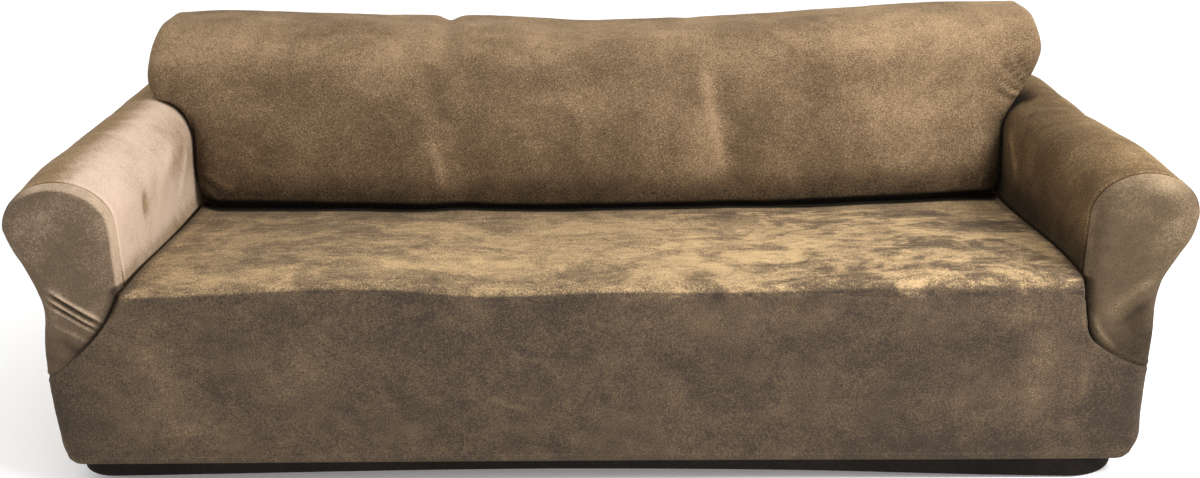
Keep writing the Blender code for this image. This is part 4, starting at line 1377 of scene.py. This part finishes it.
@dataclass
class ElasticHem(CutPiece):
    """The elastic hem: a band that runs all round under the lower edge."""

    def path(self, out: float = 0.0) -> tuple[Array, Array]:
        """The band's way round the cover.

        Args:
            out: how far outside the band to go.

        Returns:
            x and y of its points.
        """
        half_x = min(arm.flank.values[0] for arm in ARMS) - SIZES.hem_inset + out
        half_y = -SIZES.front_y - SIZES.cloth - SIZES.hem_clear + out
        x, y = [], []
        for quarter, corner in enumerate(HEM_CORNERS):
            after = HEM_CORNERS[(quarter + 1) % 4]
            angles = np.radians(np.linspace(quarter * 90 - 90, quarter * 90, 17))
            x.append(corner.side * (half_x - corner.radius) + corner.radius * np.cos(angles))
            y.append(corner.depth * (half_y - corner.radius) + corner.radius * np.sin(angles))
            start_x, start_y = x[-1][-1], y[-1][-1]
            if quarter % 2:
                t = np.linspace(0.0, 1.0, 300)[1:-1]
                x.append(start_x + (after.side * (half_x - after.radius) - start_x) * t)
                y.append(np.full(len(t), start_y))
            else:
                t = np.linspace(0.0, 1.0, 110)[1:-1]
                x.append(np.full(len(t), start_x))
                y.append(start_y + (after.depth * (half_y - after.radius) - start_y) * t)
        return np.append(np.concatenate(x), x[0][0]), np.append(np.concatenate(y), y[0][0])

    def grids(self) -> list[Array]:
        """Rows up the band from its lower edge."""
        x, y = self.path()
        low, high = ELASTIC_EDGE.at(x), DROP_EDGE.at(x) + SIZES.hem_tuck
        return [np.array([stack(x, y, low + (high - low) * share) for share in np.linspace(0.0, 1.0, 9)])]


# ---------------------------------------------------------------- stitches
@dataclass
class StitchLine:
    """A run of small stitches laid on finished pieces."""

    name: str
    on: list[bpy.types.Object]
    line: Array
    pitch: float = 0.0042
    length: float = 0.0030
    radius: float = 0.00045
    colour: Colour = (0.075, 0.055, 0.040)

    def build(self) -> bpy.types.Object:
        """Lays the stitches along the line, each on the cloth that is nearest.

        Returns:
            The stitches as one piece.
        """
        trees = [BVHTree.FromObject(piece, bpy.context.evaluated_depsgraph_get()) for piece in self.on]
        steps = np.linalg.norm(np.diff(self.line, axis=0), axis=1)
        places = np.concatenate([[0.0], np.cumsum(steps)])
        shape = bmesh.new()
        for at in np.arange(0.0, places[-1] - self.length, self.pitch):
            ends = [self._on_cloth(trees, places, at + out) for out in (0.0, self.length)]
            (start, up), (end, _) = ends
            along = (end - start).normalized()
            side = up.cross(along).normalized()
            turn = Matrix((along, side, side.cross(along) * -1)).transposed().to_4x4()
            turn.translation = (start + end) / 2
            made = bmesh.ops.create_icosphere(shape, subdivisions=1, radius=self.radius)
            stretch = Matrix.Diagonal((self.length / 2 / self.radius, 1.0, 1.0, 1.0))
            bmesh.ops.transform(shape, matrix=turn @ stretch, verts=made["verts"])
        bmesh.ops.recalc_face_normals(shape, faces=shape.faces)
        mesh = bpy.data.meshes.new(self.name)
        shape.to_mesh(mesh)
        shape.free()
        mesh.shade_smooth()
        mesh.materials.append(Thread(f"{self.name}_thread", self.colour).make())
        piece = bpy.data.objects.new(self.name, mesh)
        bpy.context.scene.collection.objects.link(piece)
        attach(piece, "root")
        LOG.info("%s: %d faces", self.name, len(mesh.polygons))
        return piece

    def _on_cloth(self, trees: list[BVHTree], places: Array, at: float) -> tuple[Vector, Vector]:
        """Nearest point of the cloth to a place along the line, and the cloth's normal there."""
        point = Vector([float(np.interp(at, places, self.line[:, axis])) for axis in range(3)])
        found = min((tree.find_nearest(point) for tree in trees), key=lambda hit: hit[3])
        return found[0], found[1]


@dataclass(frozen=True)
class Thread:
    """Sewing thread."""

    name: str
    colour: Colour
    twist_scale: float = 1500.0
    lighter: float = 1.6
    roughness: float = 0.55
    sheen: float = 0.2

    def make(self) -> bpy.types.Material:
        """Builds the material.

        Returns:
            The material.
        """
        material = bpy.data.materials.new(self.name)
        nodes = Nodes(material)
        twist = nodes.noise(nodes.place((1.0, 1.0, 1.0)), self.twist_scale, detail=1.0)
        lighter = tuple(self.lighter * part for part in self.colour)
        colour = nodes.ramp(twist, ((0.3, self.colour), (0.7, lighter)))
        finish = {"Base_Color": colour, "Roughness": self.roughness, "Sheen_Weight": self.sheen}
        shader = nodes.add("ShaderNodeBsdfPrincipled", None, **finish)
        nodes.add("ShaderNodeOutputMaterial", None, Surface=shader.outputs["BSDF"])
        return material


# ---------------------------------------------------------------- the studio
@dataclass(frozen=True)
class Studio:
    """Pale floor, soft light and the camera."""

    camera_at: Point = (-0.0133, -2.7331, 1.3784)
    lens: float = 40.2
    pitch: float = 20.80
    roll: float = -0.511
    yaw: float = 0.293
    sensor: float = 36.0
    floor_size: float = 40.0
    floor_z: float = -0.001
    floor_colour: Colour = (0.95, 0.95, 0.95)
    world_strength: float = 1.0
    aim: Point = (0.0, 0.0, 0.4)

    def build(self) -> None:
        """Adds the floor, the lights, the world and the camera."""
        bpy.ops.mesh.primitive_plane_add(size=self.floor_size, location=(0.0, 0.0, self.floor_z))
        floor = bpy.context.object
        floor.name = "floor"
        floor.data.materials.append(Paint("pale_floor", self.floor_colour).make())
        world = bpy.data.worlds.new("studio")
        bpy.context.scene.world = world
        world.use_nodes = True
        background = world.node_tree.nodes["Background"]
        background.inputs["Color"].default_value = (1.0, 1.0, 1.0, 1.0)
        background.inputs["Strength"].default_value = self.world_strength
        self.light("key", (2.5, -1.5, 2.6), (1.6, 1.2), 120.0)
        self.camera()
        bpy.context.scene.view_settings.view_transform = "Standard"

    def light(self, name: str, at: Point, size: tuple[float, float], power: float) -> None:
        """Adds a soft rectangular light that faces the seat.

        Args:
            name: the light's name.
            at: its place.
            size: its width and height.
            power: its power in watts.
        """
        data = bpy.data.lights.new(name, "AREA")
        data.shape, data.size, data.size_y, data.energy = "RECTANGLE", size[0], size[1], power
        lamp = bpy.data.objects.new(name, data)
        lamp.location = at
        lamp.rotation_euler = (Vector(self.aim) - Vector(at)).to_track_quat("-Z", "Y").to_euler()
        bpy.context.scene.collection.objects.link(lamp)

    def camera(self) -> None:
        """Adds the camera at its place, looking a little down."""
        pitch, roll, yaw = (math.radians(angle) for angle in (self.pitch, self.roll, self.yaw))
        ahead = Vector((math.sin(yaw) * math.cos(pitch), math.cos(yaw) * math.cos(pitch), -math.sin(pitch)))
        right = Vector((math.cos(yaw), -math.sin(yaw), 0.0))
        up = right.cross(ahead)
        across = math.cos(roll) * right + math.sin(roll) * up
        upward = math.cos(roll) * up - math.sin(roll) * right
        turn = Matrix((across, upward, -ahead)).transposed().to_4x4()
        turn.translation = self.camera_at
        data = bpy.data.cameras.new("camera")
        data.lens, data.sensor_width = self.lens, self.sensor
        camera = bpy.data.objects.new("camera", data)
        camera.matrix_world = turn
        bpy.context.scene.collection.objects.link(camera)
        bpy.context.scene.camera = camera


# ---------------------------------------------------------------- the cover
SEAT_VELVET = Velvet(
    "seat_velvet",
    dark=(0.046, 0.034, 0.026),
    middle=(0.143, 0.099, 0.060),
    light=(0.53, 0.365, 0.19),
    clouds=0.40,
    flecks=0.42,
    streaks=1.6,
)
BACK_VELVET = Velvet(
    "back_velvet", dark=(0.026, 0.018, 0.010), middle=(0.128, 0.083, 0.046), light=(0.39, 0.265, 0.152)
)
# Lit and shaded copies of one velvet: painted light on the left arm, painted shade on the right, partly
# sheen.
LIT_ARM_VELVET = Velvet(
    "lit_arm_velvet",
    dark=(0.060, 0.040, 0.024),
    middle=(0.235, 0.150, 0.073),
    light=(0.60, 0.455, 0.345),
    clouds=0.30,
    grain=0.8,
)
SHADED_ARM_VELVET = Velvet(
    "shaded_arm_velvet", dark=(0.028, 0.018, 0.010), middle=(0.125, 0.077, 0.037), light=(0.42, 0.29, 0.15)
)
TAUPE_VELVET = Velvet(
    "taupe_velvet",
    dark=(0.030, 0.021, 0.014),
    middle=(0.124, 0.088, 0.057),
    light=(0.50, 0.37, 0.26),
    clouds=0.30,
    grain=0.55,
)
CAP_VELVET = Velvet(
    "cap_velvet",
    dark=(0.028, 0.020, 0.013),
    middle=(0.115, 0.080, 0.048),
    light=(0.44, 0.32, 0.20),
    clouds=0.25,
    grain=0.55,
)
# Painted shade: the hem band is velvet painted near black for the shade under the drop's edge.
HEM_VELVET = Velvet(
    "hem_velvet", dark=(0.004, 0.003, 0.003), middle=(0.009, 0.007, 0.006), light=(0.02, 0.016, 0.013)
)


def front_folds(*rows: tuple) -> tuple[Fold, ...]:
    """Folds laid on the cloth from the front.

    Args:
        rows: for each fold three (x, z) along it, then its y, width, height and shade.

    Returns:
        The folds.
    """
    made = []
    for *path, y, width, height, shade in rows:
        made.append(Fold(tuple((x, y, z) for x, z in path), width, height, shade=shade))
    return tuple(made)


def soft_waves(seed: int, height: float = 0.0011) -> tuple[Unevenness, ...]:
    """Broad and small unevenness of a stretched piece."""
    return (Unevenness(height, 0.14, 0.40, seed), Unevenness(0.00022, 0.025, 0.06, seed + 50))


# Brushed nap, with painted highlights on the seat.
SEAT_PATCHES = (
    Patch((0.12, -0.18, 0.42), (0.42, 0.13, 0.0), 0.38),
    Patch((0.10, -0.35, 0.42), (0.25, 0.06, 0.0), 0.26),
    Patch((0.42, -0.30, 0.42), (0.20, 0.07, 0.0), 0.26),
    Patch((-0.20, -0.33, 0.42), (0.30, 0.05, 0.0), 0.14),
    Patch((-0.62, -0.05, 0.42), (0.16, 0.06, 0.0), -0.22),
    Patch((0.65, -0.27, 0.42), (0.10, 0.045, 0.0), -0.34),
    Patch((0.80, -0.11, 0.42), (0.07, 0.035, 0.0), -0.42),
    Patch((0.78, 0.00, 0.42), (0.10, 0.03, 0.0), -0.36),
    Patch((0.60, -0.08, 0.42), (0.09, 0.03, 0.0), 0.22),
    Patch((0.85, -0.26, 0.42), (0.05, 0.06, 0.0), 0.18),
    Patch((-0.90, -0.45, 0.25), (0.10, 0.0, 0.09), 0.12),
    Patch((-0.82, -0.45, 0.12), (0.14, 0.0, 0.05), 0.34),
    Patch((-0.55, -0.45, 0.27), (0.10, 0.0, 0.05), 0.22),
    Patch((0.30, -0.45, 0.35), (0.10, 0.0, 0.03), 0.40),
    Patch((0.80, -0.45, 0.36), (0.14, 0.0, 0.03), 0.45),
    Patch((0.55, -0.45, 0.29), (0.14, 0.0, 0.05), -0.30),
    Patch((0.05, -0.45, 0.24), (0.35, 0.0, 0.08), -0.15),
    Patch((0.50, -0.45, 0.10), (0.40, 0.0, 0.04), -0.20),
    Patch((1.00, -0.45, 0.14), (0.08, 0.0, 0.12), -0.70),
    Patch((-1.03, -0.45, 0.18), (0.07, 0.0, 0.12), -0.50),
    Patch((0.62, -0.45, 0.07), (0.30, 0.0, 0.03), -0.40),
    Patch((-0.62, -0.38, 0.42), (0.09, 0.030, 0.0), 0.45),
    Patch((-0.40, -0.34, 0.42), (0.10, 0.035, 0.0), 0.35),
)
# Brushed nap, with painted glints and painted shade towards the left end.
BACK_PATCHES = (
    Patch((-0.77, 0.10, 0.47), (0.20, 0.0, 0.10), -0.34),
    Patch((-0.345, 0.10, 0.58), (0.045, 0.0, 0.13), 0.24),
    Patch((0.245, 0.10, 0.58), (0.032, 0.0, 0.19), 0.30),
    Patch((-0.42, 0.10, 0.66), (0.12, 0.0, 0.05), 0.20),
    Patch((0.78, 0.10, 0.62), (0.24, 0.0, 0.14), 0.20),
    Patch((0.48, 0.10, 0.64), (0.05, 0.0, 0.14), -0.14),
    Patch((0.75, 0.10, 0.43), (0.22, 0.0, 0.05), -0.12),
    Patch((-0.90, 0.10, 0.66), (0.09, 0.0, 0.08), 0.10),
    Patch((-0.92, 0.10, 0.62), (0.08, 0.0, 0.04), -0.30),
    Patch((-0.60, 0.10, 0.70), (0.20, 0.0, 0.03), 0.16),
    Patch((0.00, 0.10, 0.46), (0.20, 0.0, 0.05), -0.12),
)
BACK_FOLDS = (
    *front_folds(
        ((-0.369, 0.560), (-0.350, 0.476), (-0.341, 0.420), 0.10, 0.009, 0.0030, 0.35),
        ((-0.385, 0.720), (-0.352, 0.640), (-0.340, 0.560), 0.10, 0.022, -0.0035, 0.35),
        ((0.225, 0.710), (0.250, 0.578), (0.281, 0.420), 0.10, 0.014, 0.0028, 0.35),
    ),
    Fold(
        ((0.535, 0.15, 0.790), (0.530, 0.15, 0.700), (0.540, 0.15, 0.600)),
        0.012,
        0.0022,
        depth=0.2,
        shade=0.10,
    ),
    *front_folds(
        ((-0.890, 0.455), (-0.865, 0.432), (-0.836, 0.405), 0.10, 0.006, 0.0035, 0.35),
        ((-0.880, 0.485), (-0.845, 0.452), (-0.800, 0.425), 0.10, 0.008, 0.0028, 0.35),
        ((-0.905, 0.601), (-0.899, 0.522), (-0.892, 0.430), 0.12, 0.006, 0.0022, 0.35),
        ((0.880, 0.660), (0.915, 0.632), (0.952, 0.610), 0.18, 0.0045, -0.0040, 0.8),
        ((0.880, 0.630), (0.912, 0.608), (0.944, 0.594), 0.18, 0.0045, -0.0036, 0.7),
        ((0.900, 0.690), (0.935, 0.652), (0.965, 0.622), 0.18, 0.0050, -0.0036, 0.7),
        ((0.930, 0.700), (0.955, 0.668), (0.975, 0.636), 0.18, 0.0045, -0.0030, 0.6),
        ((0.890, 0.650), (0.922, 0.622), (0.950, 0.602), 0.18, 0.0040, 0.0030, 0.5),
        ((0.905, 0.600), (0.905, 0.550), (0.895, 0.490), 0.15, 0.006, 0.0028, 0.35),
        ((0.860, 0.450), (0.855, 0.430), (0.850, 0.408), 0.15, 0.006, 0.0026, 0.35),
        ((0.800, 0.445), (0.800, 0.428), (0.797, 0.408), 0.15, 0.006, 0.0022, 0.35),
    ),
)
FRONT_FOLDS = front_folds(
    ((-0.192, 0.286), (-0.135, 0.270), (-0.079, 0.259), -0.45, 0.006, 0.0014, 0.35),
    ((-0.233, 0.196), (-0.186, 0.176), (-0.139, 0.158), -0.45, 0.007, 0.0013, 0.35),
    ((0.908, 0.276), (0.917, 0.212), (0.924, 0.149), -0.45, 0.008, 0.0018, 0.35),
    ((-0.90, 0.33), (-0.84, 0.24), (-0.82, 0.14), -0.45, 0.030, 0.0030, 0.35),
    ((0.86, 0.33), (0.82, 0.24), (0.84, 0.13), -0.45, 0.034, 0.0026, 0.35),
)
FACE_FOLDS = {
    Side.LEFT: front_folds(
        ((-1.040, 0.428), (-0.977, 0.383), (-0.915, 0.344), -0.44, 0.0036, 0.0045, 0.9),
        ((-1.040, 0.419), (-0.981, 0.376), (-0.921, 0.338), -0.44, 0.0032, -0.0030, 0.9),
        ((-1.040, 0.409), (-0.985, 0.369), (-0.928, 0.333), -0.44, 0.0034, 0.0040, 0.8),
        ((-1.040, 0.400), (-0.984, 0.362), (-0.931, 0.329), -0.44, 0.0032, -0.0030, 0.9),
        ((-1.040, 0.391), (-0.982, 0.355), (-0.935, 0.325), -0.44, 0.0034, 0.0036, 0.7),
        ((-1.030, 0.352), (-0.985, 0.328), (-0.945, 0.306), -0.44, 0.0050, 0.0024, 0.4),
        ((-1.030, 0.330), (-0.985, 0.297), (-0.965, 0.275), -0.44, 0.0080, -0.0025, 0.3),
    ),
    Side.RIGHT: front_folds(
        ((0.918, 0.352), (0.940, 0.308), (0.975, 0.274), -0.44, 0.0060, 0.0034, 0.6),
        ((1.045, 0.430), (0.990, 0.385), (0.945, 0.350), -0.44, 0.0140, 0.0018, 0.35),
        ((1.040, 0.380), (0.990, 0.340), (0.955, 0.320), -0.44, 0.0090, -0.0024, 0.25),
    ),
}
# Brushed nap, with a painted highlight on the top of the right arm's cap.
FACE_PATCHES = {
    Side.LEFT: (
        Patch((-0.99, -0.44, 0.50), (0.07, 0.0, 0.06), -0.10),
        Patch((-1.02, -0.44, 0.56), (0.05, 0.0, 0.03), 0.18),
    ),
    Side.RIGHT: (
        Patch((1.03, -0.42, 0.60), (0.05, 0.0, 0.020), 0.45),
        Patch((0.96, -0.44, 0.49), (0.05, 0.0, 0.08), -0.22),
        Patch((1.06, -0.44, 0.52), (0.035, 0.0, 0.05), 0.16),
        Patch((1.02, -0.44, 0.34), (0.05, 0.0, 0.06), -0.45),
    ),
}
ARM_FOLDS = {
    Side.LEFT: (
        Fold(((-0.9, -0.200, 0.540), (-0.9, -0.222, 0.505), (-0.9, -0.205, 0.470)), 0.010, -0.0030, Seen.END),
        Fold(((-0.9, -0.325, 0.480), (-0.9, -0.318, 0.470), (-0.9, -0.310, 0.462)), 0.006, -0.0020, Seen.END),
        Fold(((-0.9, 0.100, 0.560), (-0.9, 0.040, 0.490), (-0.9, -0.030, 0.440)), 0.014, 0.0028, Seen.END),
        Fold(((-0.9, 0.040, 0.590), (-0.9, -0.060, 0.540), (-0.9, -0.150, 0.500)), 0.018, 0.0022, Seen.END),
    ),
    Side.RIGHT: (
        Fold(((0.95, 0.17, 0.61), (0.965, 0.180, 0.61), (0.98, 0.175, 0.61)), 0.006, -0.0026, Seen.ABOVE),
        Fold(((0.93, 0.07, 0.61), (0.945, 0.085, 0.61), (0.96, 0.090, 0.61)), 0.007, -0.0026, Seen.ABOVE),
        Fold(((0.91, 0.120, 0.560), (0.91, 0.060, 0.500), (0.91, 0.010, 0.440)), 0.014, 0.0026, Seen.END),
    ),
}
# Brushed nap, with painted shade low on the right arm's inner side and a painted highlight on its roll.
ARM_PATCHES = {
    Side.LEFT: (
        Patch((-0.90, 0.06, 0.56), (0.05, 0.12, 0.08), -0.62),
        Patch((-0.90, -0.215, 0.505), (0.03, 0.022, 0.035), -0.40),
        Patch((-0.90, -0.22, 0.46), (0.03, 0.16, 0.05), 0.12),
    ),
    Side.RIGHT: (
        Patch((0.91, 0.0, 0.42), (0.05, 0.25, 0.05), -0.30),
        Patch((0.98, -0.30, 0.61), (0.06, 0.10, 0.03), 0.25),
    ),
}


def make_pieces() -> list[CutPiece]:
    """Lists the cut pieces, in the order in which they are sewn.

    Returns:
        The pieces.
    """
    pieces: list[CutPiece] = [
        SeatAndDrop(
            "velvet_seat_and_drop",
            "seat_and_front",
            "velvet_seat",
            SEAT_VELVET,
            (2.11, 0.98),
            1.744,
            (0.0, 0.1, 0.1),
            folds=FRONT_FOLDS,
            waves=soft_waves(3),
            patches=SEAT_PATCHES,
            seam_fades_z=FACE_SEAM_FADES_Z,
        ),
        InsideBack(
            "velvet_inside_back",
            "inside_back",
            "velvet_back",
            BACK_VELVET,
            (2.01, 0.80),
            1.384,
            (0.0, 0.32, 0.55),
            folds=BACK_FOLDS,
            waves=soft_waves(5),
            patches=BACK_PATCHES,
        ),
        OutsideBack(
            "velvet_outside_back",
            "outside_back",
            "velvet_rear",
            BACK_VELVET,
            (2.21, 0.66),
            1.380,
            (0.0, 0.0, 0.4),
            waves=soft_waves(7),
        ),
    ]
    for arm in ARMS:
        pieces += make_arm_pieces(arm)
    hem = ElasticHem(
        "velvet_elastic_hem",
        "elastic_hem",
        "velvet_hem",
        HEM_VELVET,
        (0.035, 5.8),
        0.200,
        (0.0, 0.0, 0.03),
        seam_depth=0.0,
    )
    return [*pieces, hem]


def make_arm_pieces(arm: ArmShape) -> list[CutPiece]:
    """Cuts the pieces at one end of the sofa: the arm's sleeve, its face, and the end of the back above it.

    Args:
        arm: the arm that they cover.

    Returns:
        The pieces.
    """
    word, left = arm.word, arm.side is Side.LEFT
    middle = (arm.side.value * arm.roll_x, 0.0, arm.roll_z - 0.03)
    sleeve = ArmSleeve(
        f"velvet_arm_{word}",
        f"arm_{word}",
        "velvet_arm",
        LIT_ARM_VELVET if left else SHADED_ARM_VELVET,
        (0.81, 0.95),
        0.674,
        middle,
        folds=ARM_FOLDS[arm.side],
        waves=soft_waves(11),
        patches=ARM_PATCHES[arm.side],
        arm=arm,
        # Painted light: the left arm's inner side lit pale, the right one in shade, and the right roll's top
        # lit.
        inner=0.90 if left else -0.15,
        outer=0.05 if left else 0.45,
        groove_shade=0.055 if left else 0.110,
    )
    face = ArmFace(
        f"velvet_arm_face_{word}",
        f"arm_face_{word}",
        "velvet_face",
        TAUPE_VELVET if left else CAP_VELVET,
        (0.32, 0.47),
        0.072,
        middle,
        folds=FACE_FOLDS[arm.side],
        waves=soft_waves(13, 0.0005),
        patches=FACE_PATCHES[arm.side],
        seam_shade=0.75 if left else 0.35,
        seam_fades_z=FACE_SEAM_FADES_Z,
        arm=arm,
        rim_sheen=0.75 if left else 0.10,
        tip_shade=0.45 if left else 0.75,
    )
    end = BackEnd(
        f"velvet_back_end_{word}",
        f"back_end_{word}",
        "velvet_back",
        BACK_VELVET,
        (0.24, 0.15),
        0.027,
        (0.0, 0.3, 0.66),
        waves=soft_waves(17, 0.0004),
        arm=arm,
    )
    return [sleeve, face, end]


def hem_stitching(pieces: list[CutPiece]) -> StitchLine:
    """The row of stitches that holds the elastic, a little above the lower edge."""
    band = next(piece for piece in pieces if isinstance(piece, ElasticHem))
    x, y = band.path(out=0.012)
    line = stack(x, y, DROP_EDGE.at(x) + 0.015)
    on = [piece.made for piece in pieces if isinstance(piece, (SeatAndDrop, OutsideBack, ArmSleeve))]
    return StitchLine("hem_stitches", on, line)


def main() -> None:
    """Builds the cover and the studio."""
    logging.basicConfig(level=logging.INFO, format="%(message)s")
    pieces = make_pieces()
    for piece in pieces:
        piece.build()
    hem_stitching(pieces).build()
    Studio().build()


if __name__ == "__main__":
    main()
